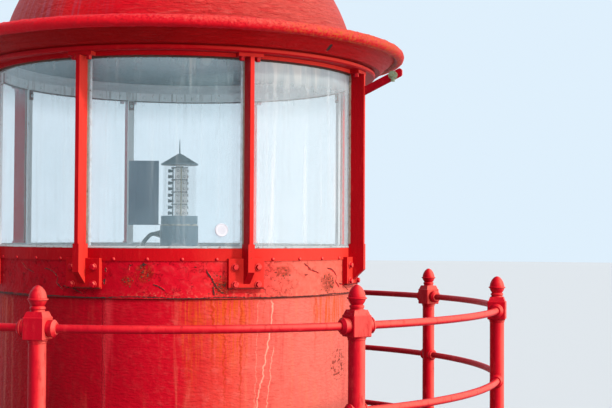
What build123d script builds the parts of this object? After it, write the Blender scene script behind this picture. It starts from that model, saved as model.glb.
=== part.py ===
from build123d import *
from math import asin, atan, cos, degrees, radians, sin, sqrt
import os

# Lantern room of a lighthouse with its gallery deck and railing, in millimetres.
# The origin is the centre of the deck's underside, +Z is up and -Y is the front.
# A turn is an angle in degrees about the tower axis, from the front towards +X.
# Heights named HEIGHT are above the top of the gallery deck.

# Layout
BAYS = 8
POST_TURN = -19.2
BAR_TURN = -26.6
WALL_PLATES = 4
WALL_SEAM_TURN = -20.7
SEAT_GAP = 0.3
JOINT_GAP = 1.5
FUSE = 1
EDGE_ROUND = 2

# Gallery deck, of cast sectors with flanges and ribs below
DECK_DEPTH = 90
DECK_PLATE_THICK = 22
DECK_RIB_THICK = 18
DECK_RADIUS = 1690
DECK_INNER_RADIUS = 760
NOSING_BULGE = 20
NOSING_DEPTH = 40
HATCH_WIDTH = 520
HATCH_LENGTH = 400
HATCH_OFFSET = 450
BEARER_OFFSET = 120

# Railing
RAIL_SETBACK = 102
RAIL_TOP_HEIGHT = 1050
RAIL_PITCH = 332
RAIL_DIAMETER = 32
RAILS = ("top_rail", "middle_rail", "lower_rail")
POST_DIAMETER = 67
POST_FOOT_DIAMETER = 170
POST_FOOT_THICK = 16
POST_FOOT_CONE = 34
POST_COLLAR_HEIGHT = 14
POST_COLLAR_STEP = 2
CUBE_SIDE = 85
CUBE_CHAMFER = 3
CAP_INSET = 4
SOCKET_DIAMETER = 62
SOCKET_LIP_DIAMETER = 67
SOCKET_LIP_LENGTH = 9
SOCKET_LENGTH = 27
SOCKET_EDGE = 2
SOCKET_NECK_DIAMETER = 42
SOCKET_NECK_LENGTH = 8
TEE_REACH = 46
TEE_DIAMETER = 58
TEE_LIP_DIAMETER = 63
FINIAL_CAP_HEIGHT = 20
FINIAL_NECK_RADIUS = 28
FINIAL_NECK_HEIGHT = 6
FINIAL_NECK_TAPER = 2
FINIAL_RING_RADIUS = 29.5
FINIAL_RING_HEIGHT = 9
FINIAL_RING_THICK = 7
FINIAL_BOWL_RADIUS = 35
FINIAL_BOWL_HEIGHT = 20
FINIAL_LIP_RADIUS = 39.5
FINIAL_LIP_HEIGHT = 43
FINIAL_LIP_THICK = 4
FINIAL_LIP_EDGE = 2
FINIAL_ACORN_DROP = 24
FINIAL_HEIGHT = 160

# Lantern wall
WALL_RADIUS = 890
WALL_THICK = 10
BAND_THICK = 10
BAND_LAP = 50
LAP_HEIGHT = 1125
BASE_FLANGE_REACH = 70
BASE_FLANGE_RISE = 70
BASE_FLANGE_THICK = 10
SILL_HEIGHT = 1344
SILL_THICK = 12
SILL_LIP_DROP = 57
SILL_LIP_THICK = 5
SILL_INNER_RADIUS = 848

# Glazing
GLASS_TOP_HEIGHT = 2170
GLASS_RADIUS = 905
GLASS_THICK = 8
PANE_CLEARANCE = 2
BAR_FIN_THICK = 20
BAR_FIN_RADIUS = 979
BAR_WEB_THICK = 10
BAR_INNER_WIDTH = 34
BAR_INNER_DEPTH = 12
FOOT_WIDTH = 166
FOOT_BOTTOM_HEIGHT = 1166
FOOT_THICK = 26
FOOT_LAP = 11
SHOE_THICK = 30
SHOE_STEP = 2
SHOE_RISE = 16
SHOE_CHAMFER_HEIGHT = 1239
SHOE_TIP_HEIGHT = 1188

# Head of the lantern
RING_INNER_RADIUS = 872
HEAD_RING_RADIUS = 925
HEAD_RING_DEPTH = 16
HEAD_RING_DROP = 3
HEAD_LUG_WIDTH = 116
HEAD_LUG_RADIUS = 968
CORNICE_RADIUS = 985
CORNICE_DEPTH = 24
CORNICE_GROOVE = 6

# Eave with its rolled gutter
EAVE_PLATE_THICK = 6
EAVE_INSET = 4
SOFFIT_SETBACK = 23
SOFFIT_RISE = 2
CURB_HEIGHT = 44
GUTTER_REACH = 117
GUTTER_RISE = 71
GUTTER_BEAD_RADIUS = 26
GUTTER_WALL = 5
GUTTER_START_ANGLE = -155
GUTTER_RIDGE_ANGLE = -178
GUTTER_END_ANGLE = 112
DRAIN_TURNS = (39.6, 219.6)
DRAIN_SETBACK = 69
DRAIN_WIDTH = 20
DRAIN_LENGTH = 44

# Dome and what stands on it
DOME_RADIUS = 894
DOME_CENTRE_DROP = 81
DOME_THICK = 5
DOME_CROWN_RADIUS = 96
VENT_SKIRT_RADIUS = 150
VENT_SKIRT_THICK = 8
VENT_NECK_RADIUS = 88
VENT_NECK_HEIGHT = 92
VENT_BALL_RADIUS = 142
VENT_WALL = 4
VENT_KNOB_RADIUS = 34
VENT_KNOB_HEIGHT = 44
ROD_DIAMETER = 18
ROD_LENGTH = 420
ROD_POINT_LENGTH = 60

# Arm and clamp under the eave
ARM_START_DROP = 80
ARM_RISE = 86
ARM_REACH = 185
ARM_DEPTH = 42
ARM_THICK = 10
CLAMP_SETBACK = 41
CLAMP_DIAMETER = 40
CLAMP_THICK = 22
CLAMP_BOLT_DIAMETER = 18
CLAMP_BOLT_HEAD = 8
CLAMP_EYE_DIAMETER = 18
CLAMP_EYE_REACH = 30

# Lamp on its pedestal
PEDESTAL_FOOT_RADIUS = 190
PEDESTAL_FOOT_THICK = 14
PEDESTAL_RADIUS = 70
TABLE_RADIUS = 150
TABLE_THICK = 12
TABLE_HEIGHT = 1300
TABLE_BRACKET = 30
LAMP_FOOT_RADIUS = 108
LAMP_FOOT_THICK = 10
LAMP_BODY_RADIUS = 95.5
LAMP_GROOVE_RADIUS = 89
LAMP_GROOVE_DEPTH = 4
LAMP_FLANGE_RADIUS = 92
LAMP_BODY_HEIGHT = 149
LAMP_FLANGE_DEPTH = 44
LAMP_TUBE_LENGTH = 257
LAMP_TUBE_RADIUS = 86
LAMP_TUBE_THICK = 4
HAT_RADIUS = 93.5
HAT_RIM_THICK = 6
HAT_RISE = 48
HAT_TOP_RADIUS = 14
SPIKE_LENGTH = 129
SPIKE_RADIUS = 4
SPIKE_TIP_RADIUS = 1.5
STACK_TIERS = 4
STACK_HEADROOM = 12
STACK_NECK_RADIUS = 20
STACK_PLATE_SIDE = 82
STACK_PLATE_THICK = 5
STACK_DRUM_SIDE = 64
STACK_DRUM_OFFSET = 8
STACK_BOARD_THICK = 6
STACK_BOARD_WIDTH = 50
STACK_BOARD_OFFSET = 33
STACK_ROD_DIAMETER = 5
SCREEN_DROP = 2
SCREEN_RISE = 21
SCREEN_NEAR_X = -104
SCREEN_FOLD_X = -218
SCREEN_FAR_X = -256
SCREEN_THICK = 3
SCREEN_TAB_WIDTH = 24
SCREEN_TAB_LAP = 20
CONDUIT_DIAMETER = 20
CONDUIT_EXIT_RISE = 102
CONDUIT_CLEARANCE = 35
CONDUIT_STUB = 30
CONDUIT_DROP = 44
CONDUIT_BOW = 4
CONDUIT_BENDS = (34, 50, 300, 50, 34)
GLAND_DIAMETER = 28
GLAND_LENGTH = 16
GLAND_SEAT = 4
PEDESTAL_GLAND_DROP = 170

# Round vent in the front pane
VENT_DISC_TURN = 11.5
VENT_DISC_RISE = 77
VENT_DISC_DIAMETER = 57
VENT_DISC_THICK = 9

# Places worked out from the sizes above
DECK_TOP = DECK_DEPTH
RAIL_RADIUS = DECK_RADIUS - RAIL_SETBACK
BAY = 360 / BAYS
ARM_TURN = BAR_TURN + 2 * BAY
WALL_INNER_RADIUS = WALL_RADIUS - WALL_THICK
BAND_INNER_RADIUS = WALL_RADIUS + SEAT_GAP
BAND_RADIUS = BAND_INNER_RADIUS + BAND_THICK
SILL_LIP_INNER_RADIUS = BAND_RADIUS + SEAT_GAP
SILL_RADIUS = SILL_LIP_INNER_RADIUS + SILL_LIP_THICK
SILL_LIP_BOTTOM = SILL_HEIGHT - SILL_LIP_DROP
GLASS_INNER_RADIUS = GLASS_RADIUS - GLASS_THICK
BAR_FIN_ROOT = GLASS_RADIUS + SEAT_GAP
BAR_INNER_OUTSIDE = GLASS_INNER_RADIUS - SEAT_GAP
SHOE_TOP = SILL_HEIGHT + SHOE_RISE
BAR_INNER_TOP = GLASS_TOP_HEIGHT - HEAD_RING_DROP
CORNICE_BOTTOM = GLASS_TOP_HEIGHT + HEAD_RING_DEPTH
EAVE_BOTTOM = CORNICE_BOTTOM + CORNICE_DEPTH
EAVE_TOP = EAVE_BOTTOM + EAVE_PLATE_THICK
EAVE_INNER_RADIUS = RING_INNER_RADIUS - EAVE_INSET
SOFFIT_INNER_RADIUS = CORNICE_RADIUS + SOFFIT_SETBACK
GUTTER_CENTRE_RADIUS = CORNICE_RADIUS + GUTTER_REACH
GUTTER_CENTRE_HEIGHT = EAVE_TOP + GUTTER_RISE
DRAIN_RADIUS = GUTTER_CENTRE_RADIUS - DRAIN_SETBACK
DOME_CENTRE_HEIGHT = EAVE_TOP - DOME_CENTRE_DROP
ARM_START_HEIGHT = GLASS_TOP_HEIGHT - ARM_START_DROP
ARM_END_HEIGHT = ARM_START_HEIGHT + ARM_RISE
ARM_END_RADIUS = BAR_FIN_RADIUS + ARM_REACH
CLAMP_RADIUS_ON_ARM = ARM_END_RADIUS - CLAMP_SETBACK
LAMP_FLANGE_BOTTOM_HEIGHT = TABLE_HEIGHT + LAMP_BODY_HEIGHT
LAMP_TUBE_BOTTOM_HEIGHT = LAMP_FLANGE_BOTTOM_HEIGHT + LAMP_FLANGE_DEPTH
LAMP_TUBE_TOP_HEIGHT = LAMP_TUBE_BOTTOM_HEIGHT + LAMP_TUBE_LENGTH
CONDUIT_EXIT_HEIGHT = TABLE_HEIGHT + CONDUIT_EXIT_RISE
PEDESTAL_GLAND_HEIGHT = TABLE_HEIGHT - PEDESTAL_GLAND_DROP
VENT_DISC_HEIGHT = SILL_HEIGHT + VENT_DISC_RISE
SCREEN_BOTTOM = LAMP_FLANGE_BOTTOM_HEIGHT - SCREEN_DROP
SCREEN_TOP = LAMP_TUBE_TOP_HEIGHT + SCREEN_RISE
SOCKET_REACH = CUBE_SIDE / 2 + SOCKET_LENGTH + SOCKET_NECK_LENGTH

# How a plain solid sits on the place that it is given
STANDING = (Align.CENTER, Align.CENTER, Align.MIN)
HANGING = (Align.CENTER, Align.CENTER, Align.MAX)


def raised(height):
    """Z of a height that is counted from the top of the deck."""
    return DECK_TOP + height


def turned(shape, turn):
    """A shape made at the front, carried round the axis."""
    return Rot(0, 0, turn) * shape


def along(distance, radius):
    """Angle about the axis of a distance along a circle of that radius."""
    return degrees(asin(distance / radius))


def polygon(points):
    """Face in the radius-height plane, heights from the deck top."""
    corners = [(radius, raised(height)) for radius, height in points]
    return Plane.XZ * make_face(Polyline(*corners, close=True))


def slab(inner, outer, bottom, top):
    """Plain rectangular section in the radius-height plane."""
    return polygon([(inner, bottom), (outer, bottom), (outer, top), (inner, top)])


def swept(face, start, sweep):
    """A radius-height face turned about the axis through sweep degrees."""
    return turned(revolve(face, Axis.Z, sweep), start - 90)


def arcs(face, start, gap_radius, gap=JOINT_GAP, count=BAYS):
    """Ring of equal arcs of one section, a joint gap apart."""
    joint = along(gap, gap_radius)
    step = 360 / count
    return [swept(face, start + step * k + joint / 2, step - joint) for k in range(count)]


def save(name, shapes):
    """Write one piece, or like pieces that don't touch, as one file."""
    pieces = shapes if isinstance(shapes, list) else [shapes]
    solids = [solid for piece in pieces for solid in piece.solids()]
    whole = solids[0] if len(solids) == 1 else Compound(children=solids)
    export_step(whole, f"parts/{name}.step")


def disc(radius, bottom, thick):
    """Round plate about the axis, its bottom at a height above the deck."""
    return Pos(0, 0, raised(bottom)) * Cylinder(radius, thick, align=STANDING)


def gallery_deck():
    """Cast sectors: a plate with flanges at its four sides, and ribs under the wall and the post."""
    start = POST_TURN + BAY / 2
    joint = along(JOINT_GAP, DECK_RADIUS)
    sweep = BAY - joint
    sector = swept(slab(DECK_INNER_RADIUS, DECK_RADIUS, -DECK_PLATE_THICK, 0), joint / 2, sweep)
    for outer in (DECK_INNER_RADIUS + DECK_RIB_THICK, WALL_RADIUS + DECK_RIB_THICK / 2, DECK_RADIUS):
        rib = slab(outer - DECK_RIB_THICK, outer, -DECK_DEPTH, -DECK_PLATE_THICK + FUSE)
        sector += swept(rib, joint / 2, sweep)
    radial = slab(DECK_INNER_RADIUS + FUSE, DECK_RADIUS - FUSE, -DECK_DEPTH, -DECK_PLATE_THICK + FUSE)
    flange = along(DECK_RIB_THICK, DECK_RADIUS)
    for turn in (joint / 2, (BAY - flange) / 2, BAY - joint / 2 - flange):
        sector += swept(radial, turn, flange)
    return [turned(sector, start + BAY * k) for k in range(BAYS)]


def deck_nosing():
    inner = DECK_RADIUS + SEAT_GAP
    low = (inner, raised(-NOSING_DEPTH))
    high = (inner, raised(0))
    edge = (inner + NOSING_BULGE, raised(-NOSING_DEPTH / 2))
    outline = ThreePointArc(low, edge, high) + Line(high, low)
    return arcs(Plane.XZ * make_face(outline), POST_TURN + BAY / 2, DECK_RADIUS)


def room_floor():
    """Round plate with a rim flange, two bearers under the pedestal and a framed hatch."""
    edge = DECK_INNER_RADIUS - SEAT_GAP
    plate = disc(edge, -DECK_PLATE_THICK, DECK_PLATE_THICK)
    rim = swept(slab(edge - DECK_RIB_THICK, edge, -DECK_DEPTH, -DECK_PLATE_THICK + FUSE), 0, 360)
    floor = plate + rim
    depth = DECK_DEPTH - DECK_PLATE_THICK + FUSE
    for side in (-1, 1):
        reach = 2 * sqrt((edge - DECK_RIB_THICK / 2) ** 2 - BEARER_OFFSET**2)
        bearer = Box(reach, DECK_RIB_THICK, depth, align=STANDING)
        floor += Pos(0, side * BEARER_OFFSET, 0) * bearer
    frame_width = HATCH_WIDTH + 2 * DECK_RIB_THICK
    frame_length = HATCH_LENGTH + 2 * DECK_RIB_THICK
    frame = Box(frame_width, frame_length, depth, align=STANDING)
    floor += Pos(0, HATCH_OFFSET, 0) * frame
    hatch = Pos(0, HATCH_OFFSET, DECK_DEPTH / 2) * Box(HATCH_WIDTH, HATCH_LENGTH, 2 * DECK_DEPTH)
    return floor - hatch


def base_flange():
    inner = BAND_INNER_RADIUS
    section = polygon(
        [
            (inner, 0),
            (inner + BASE_FLANGE_REACH, 0),
            (inner + BASE_FLANGE_REACH, BASE_FLANGE_THICK),
            (inner + BASE_FLANGE_THICK, BASE_FLANGE_THICK),
            (inner + BASE_FLANGE_THICK, BASE_FLANGE_RISE),
            (inner, BASE_FLANGE_RISE),
        ]
    )
    return arcs(section, BAR_TURN, inner)


def wall_plates():
    section = slab(WALL_INNER_RADIUS, WALL_RADIUS, 0, LAP_HEIGHT + BAND_LAP)
    return arcs(section, WALL_SEAM_TURN, WALL_RADIUS, count=WALL_PLATES)


def wall_band():
    section = slab(BAND_INNER_RADIUS, BAND_RADIUS, LAP_HEIGHT, SILL_HEIGHT - SILL_THICK)
    return arcs(section, BAR_TURN, BAND_RADIUS, SEAT_GAP)


def sill_ring():
    section = polygon(
        [
            (SILL_INNER_RADIUS, SILL_HEIGHT - SILL_THICK),
            (SILL_LIP_INNER_RADIUS, SILL_HEIGHT - SILL_THICK),
            (SILL_LIP_INNER_RADIUS, SILL_LIP_BOTTOM),
            (SILL_RADIUS, SILL_LIP_BOTTOM),
            (SILL_RADIUS, SILL_HEIGHT),
            (SILL_INNER_RADIUS, SILL_HEIGHT),
        ]
    )
    return arcs(section, BAR_TURN, SILL_RADIUS, SEAT_GAP)


def bar_feet():
    """Cast feet of the bars: a thick curved plate lapped over the sill's lip, with a shoe for the fin."""
    inner = SILL_LIP_INNER_RADIUS
    face = inner + FOOT_THICK
    over = SILL_RADIUS + SEAT_GAP
    under = SILL_LIP_BOTTOM - SEAT_GAP
    top = SILL_LIP_BOTTOM + FOOT_LAP
    section = polygon(
        [
            (inner, FOOT_BOTTOM_HEIGHT),
            (face, FOOT_BOTTOM_HEIGHT),
            (face, top),
            (over, top),
            (over, under),
            (inner, under),
        ]
    )
    half = along(FOOT_WIDTH / 2, face)
    plate = swept(section, -half, 2 * half)
    rim = plate.edges().filter_by(lambda edge: Vector(edge.center().X, edge.center().Y).length > face - FUSE)
    plate = fillet(rim, EDGE_ROUND)
    side = polygon(
        [
            (face - FUSE, SHOE_TIP_HEIGHT),
            (face, SHOE_TIP_HEIGHT),
            (BAR_FIN_RADIUS + SHOE_STEP, SHOE_CHAMFER_HEIGHT),
            (BAR_FIN_RADIUS + SHOE_STEP, SHOE_TOP),
            (over, SHOE_TOP),
            (over, top - FUSE),
        ]
    )
    shoe = turned(extrude(side, SHOE_THICK / 2, both=True), -90)
    foot = plate + shoe
    return [turned(foot, BAR_TURN + BAY * k) for k in range(BAYS)]


def bar_leaf(inner, outer, width, bottom, top):
    """Rectangular leaf of a glazing bar at the front."""
    size = Box(width, outer - inner, top - bottom, align=(Align.CENTER, Align.MAX, Align.MIN))
    return Pos(0, -inner, raised(bottom)) * size


def glazing_bar():
    """Bar at the front: outside fin that stands on its shoe, web between the panes, and inside leaf."""
    fin = bar_leaf(BAR_FIN_ROOT, BAR_FIN_RADIUS, BAR_FIN_THICK, SHOE_TOP, GLASS_TOP_HEIGHT)
    fin = fillet(fin.edges().filter_by(Axis.Z).group_by(Axis.Y)[0], EDGE_ROUND)
    inner = BAR_INNER_OUTSIDE - BAR_INNER_DEPTH
    inside = bar_leaf(inner, BAR_INNER_OUTSIDE, BAR_INNER_WIDTH, SILL_HEIGHT, BAR_INNER_TOP)
    web = bar_leaf(BAR_INNER_OUTSIDE - FUSE, BAR_FIN_ROOT, BAR_WEB_THICK, SILL_HEIGHT, BAR_INNER_TOP)
    joint = bar_leaf(BAR_FIN_ROOT - FUSE, BAR_FIN_ROOT + FUSE, BAR_WEB_THICK, SHOE_TOP, BAR_INNER_TOP)
    return fin + inside + web + joint


def glass_panes():
    section = slab(GLASS_INNER_RADIUS, GLASS_RADIUS, SILL_HEIGHT, GLASS_TOP_HEIGHT)
    return arcs(section, BAR_TURN, GLASS_RADIUS, BAR_WEB_THICK + 2 * PANE_CLEARANCE)


def head_ring():
    """Ring over the glass, with a deeper inside leg that the bars meet from below."""
    leg_face = BAR_INNER_OUTSIDE
    section = polygon(
        [
            (RING_INNER_RADIUS, BAR_INNER_TOP),
            (leg_face, BAR_INNER_TOP),
            (leg_face, GLASS_TOP_HEIGHT),
            (HEAD_RING_RADIUS, GLASS_TOP_HEIGHT),
            (HEAD_RING_RADIUS, CORNICE_BOTTOM),
            (RING_INNER_RADIUS, CORNICE_BOTTOM),
        ]
    )
    return arcs(section, BAR_TURN, HEAD_RING_RADIUS, SEAT_GAP)


def bar_heads():
    """Lug over each bar's head, bolted up to the roof from below."""
    section = slab(HEAD_RING_RADIUS + SEAT_GAP, HEAD_LUG_RADIUS, GLASS_TOP_HEIGHT, CORNICE_BOTTOM)
    half = along(HEAD_LUG_WIDTH / 2, HEAD_LUG_RADIUS)
    lug = swept(section, -half, 2 * half)
    return [turned(lug, BAR_TURN + BAY * k) for k in range(BAYS)]


def cornice_ring():
    """Wider ring with a chamfered lower edge and a groove under the eave plate."""
    step = CORNICE_DEPTH / 4
    lip = CORNICE_RADIUS - step
    groove = CORNICE_RADIUS - 2 * CORNICE_GROOVE
    section = polygon(
        [
            (RING_INNER_RADIUS, CORNICE_BOTTOM),
            (lip, CORNICE_BOTTOM),
            (CORNICE_RADIUS, CORNICE_BOTTOM + step),
            (CORNICE_RADIUS, EAVE_BOTTOM - CORNICE_GROOVE),
            (groove, EAVE_BOTTOM - CORNICE_GROOVE),
            (groove, EAVE_BOTTOM),
            (RING_INNER_RADIUS, EAVE_BOTTOM),
        ]
    )
    return arcs(section, BAR_TURN, CORNICE_RADIUS, SEAT_GAP)


def on_bead(radius, angle):
    """Point of the gutter's round section in the radius-height plane."""
    turn = radians(angle)
    return (GUTTER_CENTRE_RADIUS + radius * cos(turn), raised(GUTTER_CENTRE_HEIGHT) + radius * sin(turn))


def drain_hole(turn):
    """Oblong cutter square to the flared part of the plate, its length pointing outwards."""
    foot_radius = SOFFIT_INNER_RADIUS
    foot_level = raised(EAVE_BOTTOM) + SOFFIT_RISE
    head_radius, head_level = on_bead(GUTTER_BEAD_RADIUS, GUTTER_START_ANGLE)
    slope = (head_level - foot_level) / (head_radius - foot_radius)
    level = foot_level + slope * (DRAIN_RADIUS - foot_radius)
    cutter = extrude(SlotOverall(DRAIN_LENGTH, DRAIN_WIDTH), 3 * EAVE_PLATE_THICK, both=True)
    return turned(Pos(DRAIN_RADIUS, 0, level) * Rot(0, -degrees(atan(slope)), 0) * cutter, turn - 90)


def eave_gutter():
    """Plate with a curb inside the dome, which rises outwards and ends in a rolled edge that hangs down."""
    inside = GUTTER_BEAD_RADIUS - GUTTER_WALL
    middle = (GUTTER_START_ANGLE + GUTTER_END_ANGLE) / 2
    inner_middle = (GUTTER_RIDGE_ANGLE + GUTTER_END_ANGLE) / 2
    low = raised(EAVE_BOTTOM)
    high = raised(EAVE_TOP)
    outer = ThreePointArc(
        on_bead(GUTTER_BEAD_RADIUS, GUTTER_START_ANGLE),
        on_bead(GUTTER_BEAD_RADIUS, middle),
        on_bead(GUTTER_BEAD_RADIUS, GUTTER_END_ANGLE),
    )
    inner = ThreePointArc(
        on_bead(inside, GUTTER_END_ANGLE), on_bead(inside, inner_middle), on_bead(inside, GUTTER_RIDGE_ANGLE)
    )
    lip = Line(on_bead(GUTTER_BEAD_RADIUS, GUTTER_END_ANGLE), on_bead(inside, GUTTER_END_ANGLE))
    plate = Polyline(
        on_bead(inside, GUTTER_RIDGE_ANGLE),
        (SOFFIT_INNER_RADIUS - SOFFIT_RISE, high + SOFFIT_RISE),
        (CORNICE_RADIUS, high),
        (EAVE_INNER_RADIUS + EAVE_PLATE_THICK, high),
        (EAVE_INNER_RADIUS + EAVE_PLATE_THICK, high + CURB_HEIGHT),
        (EAVE_INNER_RADIUS, high + CURB_HEIGHT),
        (EAVE_INNER_RADIUS, low),
        (CORNICE_RADIUS, low),
        (SOFFIT_INNER_RADIUS, low + SOFFIT_RISE),
        on_bead(GUTTER_BEAD_RADIUS, GUTTER_START_ANGLE),
    )
    section = Plane.XZ * make_face(outer + lip + inner + plate)
    pieces = arcs(section, BAR_TURN, GUTTER_CENTRE_RADIUS, SEAT_GAP)
    for turn in DRAIN_TURNS:
        bay = int((turn - BAR_TURN) % 360 // BAY)
        pieces[bay] -= drain_hole(turn)
    return pieces


def dome_arc(radius, angle):
    """Point of the dome's round section, its angle counted up from level."""
    turn = radians(angle)
    return (radius * cos(turn), raised(DOME_CENTRE_HEIGHT) + radius * sin(turn))


def dome():
    """Hemispherical roof of equal gores that stand on the eave plate."""
    inside = DOME_RADIUS - DOME_THICK
    lift = EAVE_TOP - DOME_CENTRE_HEIGHT
    foot = degrees(asin(lift / DOME_RADIUS))
    inner_foot = degrees(asin(lift / inside))
    crown = 90 - along(DOME_CROWN_RADIUS, DOME_RADIUS)
    inner_crown = 90 - along(DOME_CROWN_RADIUS, inside)
    middle = (foot + crown) / 2
    outer = ThreePointArc(
        dome_arc(DOME_RADIUS, foot), dome_arc(DOME_RADIUS, middle), dome_arc(DOME_RADIUS, crown)
    )
    inner_middle = (inner_foot + inner_crown) / 2
    inner = ThreePointArc(
        dome_arc(inside, inner_crown), dome_arc(inside, inner_middle), dome_arc(inside, inner_foot)
    )
    top = Line(dome_arc(DOME_RADIUS, crown), dome_arc(inside, inner_crown))
    base = Line(dome_arc(inside, inner_foot), dome_arc(DOME_RADIUS, foot))
    section = Plane.XZ * make_face(outer + top + inner + base)
    return arcs(section, BAR_TURN, DOME_RADIUS, SEAT_GAP)


def height_on_dome(radius):
    """Height just clear of the dome's outside at a radius from the axis."""
    return DOME_CENTRE_HEIGHT + sqrt((DOME_RADIUS + SEAT_GAP) ** 2 - radius**2)


def ventilator():
    """Ball ventilator: a skirt on the dome's crown, a neck, a hollow ball and a knob."""
    inside = VENT_NECK_RADIUS - VENT_WALL
    halfway = (inside + VENT_SKIRT_RADIUS) / 2
    skirt = height_on_dome(VENT_SKIRT_RADIUS)
    skirt_inside = height_on_dome(inside)
    neck_top = skirt_inside + VENT_NECK_HEIGHT
    rise = sqrt(VENT_BALL_RADIUS**2 - VENT_NECK_RADIUS**2)
    centre = neck_top + rise
    crown = centre + sqrt(VENT_BALL_RADIUS**2 - VENT_KNOB_RADIUS**2)
    hollow_radius = VENT_BALL_RADIUS - VENT_WALL
    hollow_low = centre - sqrt(hollow_radius**2 - inside**2)
    hollow_top = centre + hollow_radius
    collar = VENT_SKIRT_THICK
    bore = Line((inside, raised(hollow_low)), (inside, raised(skirt_inside)))
    seat = ThreePointArc(
        (inside, raised(skirt_inside)),
        (halfway, raised(height_on_dome(halfway))),
        (VENT_SKIRT_RADIUS, raised(skirt)),
    )
    outline = Polyline(
        (VENT_SKIRT_RADIUS, raised(skirt)),
        (VENT_SKIRT_RADIUS, raised(skirt + collar)),
        (VENT_NECK_RADIUS, raised(skirt_inside + 3 * collar)),
        (VENT_NECK_RADIUS, raised(neck_top)),
    )
    bulge = ThreePointArc(
        (VENT_NECK_RADIUS, raised(neck_top)),
        (VENT_BALL_RADIUS, raised(centre)),
        (VENT_KNOB_RADIUS, raised(crown)),
    )
    knob = Polyline(
        (VENT_KNOB_RADIUS, raised(crown)),
        (VENT_KNOB_RADIUS, raised(crown + VENT_KNOB_HEIGHT / 2)),
        (VENT_KNOB_RADIUS / 2, raised(crown + VENT_KNOB_HEIGHT)),
        (0, raised(crown + VENT_KNOB_HEIGHT)),
        (0, raised(hollow_top)),
    )
    hollow = ThreePointArc(
        (0, raised(hollow_top)), (hollow_radius, raised(centre)), (inside, raised(hollow_low))
    )
    shell = revolve(Plane.XZ * make_face(bore + seat + outline + bulge + knob + hollow), Axis.Z, 360)
    return shell, crown + VENT_KNOB_HEIGHT


def lightning_rod(bottom):
    radius = ROD_DIAMETER / 2
    section = polygon(
        [
            (0, bottom),
            (2 * radius, bottom),
            (radius, bottom + 3 * radius),
            (radius, bottom + ROD_LENGTH),
            (0, bottom + ROD_LENGTH + ROD_POINT_LENGTH),
        ]
    )
    return revolve(section, Axis.Z, 360)


def arm_height(radius):
    """Height of the arm's middle line at a radius from the tower axis."""
    share = (radius - BAR_FIN_RADIUS) / (ARM_END_RADIUS - BAR_FIN_RADIUS)
    return ARM_START_HEIGHT + share * (ARM_END_HEIGHT - ARM_START_HEIGHT)


def conductor_arm():
    """Flat bar that rises outwards from a glazing bar's fin, with a rounded end."""
    start = BAR_FIN_RADIUS
    half = ARM_DEPTH / 2
    side = polygon(
        [
            (start, ARM_START_HEIGHT - half),
            (ARM_END_RADIUS, ARM_END_HEIGHT - half),
            (ARM_END_RADIUS, ARM_END_HEIGHT + half),
            (start, ARM_START_HEIGHT + half),
        ]
    )
    bar = extrude(side, ARM_THICK / 2, both=True)
    tip = bar.edges().filter_by(Axis.Y).group_by(Axis.X)[-1]
    return turned(fillet(tip, half * 0.6), ARM_TURN - 90)


def conductor_clamp():
    """Round bronze clamp on the arm's side, with its bolt head and an eye that points down."""
    centre = Pos(CLAMP_RADIUS_ON_ARM, -ARM_THICK / 2, raised(arm_height(CLAMP_RADIUS_ON_ARM)))
    body = Cylinder(CLAMP_DIAMETER / 2, CLAMP_THICK, align=STANDING)
    body += Cylinder(CLAMP_BOLT_DIAMETER / 2, CLAMP_THICK + CLAMP_BOLT_HEAD, align=STANDING)
    clamp = centre * Rot(90, 0, 0) * body
    eye = Cylinder(CLAMP_EYE_DIAMETER / 2, CLAMP_EYE_REACH, align=HANGING)
    clamp += centre * Pos(0, -CLAMP_THICK / 2, 0) * eye
    return turned(clamp, ARM_TURN - 90)


def finial_profile():
    """Half section of the cast finial, heights above the cube's centre."""
    top = CUBE_SIDE / 2 + FINIAL_CAP_HEIGHT
    neck = FINIAL_NECK_RADIUS
    ring = FINIAL_RING_RADIUS
    ring_low = top + FINIAL_RING_HEIGHT
    lip = FINIAL_LIP_RADIUS
    lip_low = top + FINIAL_LIP_HEIGHT
    lip_top = lip_low + FINIAL_LIP_THICK
    bowl_low = (neck - 2 * FINIAL_NECK_TAPER, top + FINIAL_BOWL_HEIGHT)
    bowl_top = (FINIAL_BOWL_RADIUS, lip_low - FINIAL_LIP_EDGE)
    bowl_middle = (0.88 * FINIAL_BOWL_RADIUS, (bowl_low[1] + bowl_top[1]) / 2)
    shoulder = (0.87 * lip, lip_top + FINIAL_LIP_EDGE)
    tip = (0, FINIAL_HEIGHT)
    stem = Polyline(
        (0, top - FUSE),
        (neck, top - FUSE),
        (neck - FINIAL_NECK_TAPER, top + FINIAL_NECK_HEIGHT),
        (ring, ring_low),
        (ring, ring_low + FINIAL_RING_THICK),
        bowl_low,
    )
    cup = ThreePointArc(bowl_low, bowl_middle, bowl_top)
    edge = Polyline(bowl_top, (lip, lip_low), (lip, lip_top), shoulder)
    acorn_side = (0.84 * lip, FINIAL_HEIGHT - FINIAL_ACORN_DROP)
    acorn = Bezier(shoulder, acorn_side, (0.4 * lip, FINIAL_HEIGHT), tip)
    axis = Line(tip, (0, top - FUSE))
    return Plane.XZ * make_face(stem + cup + edge + acorn + axis)


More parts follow.
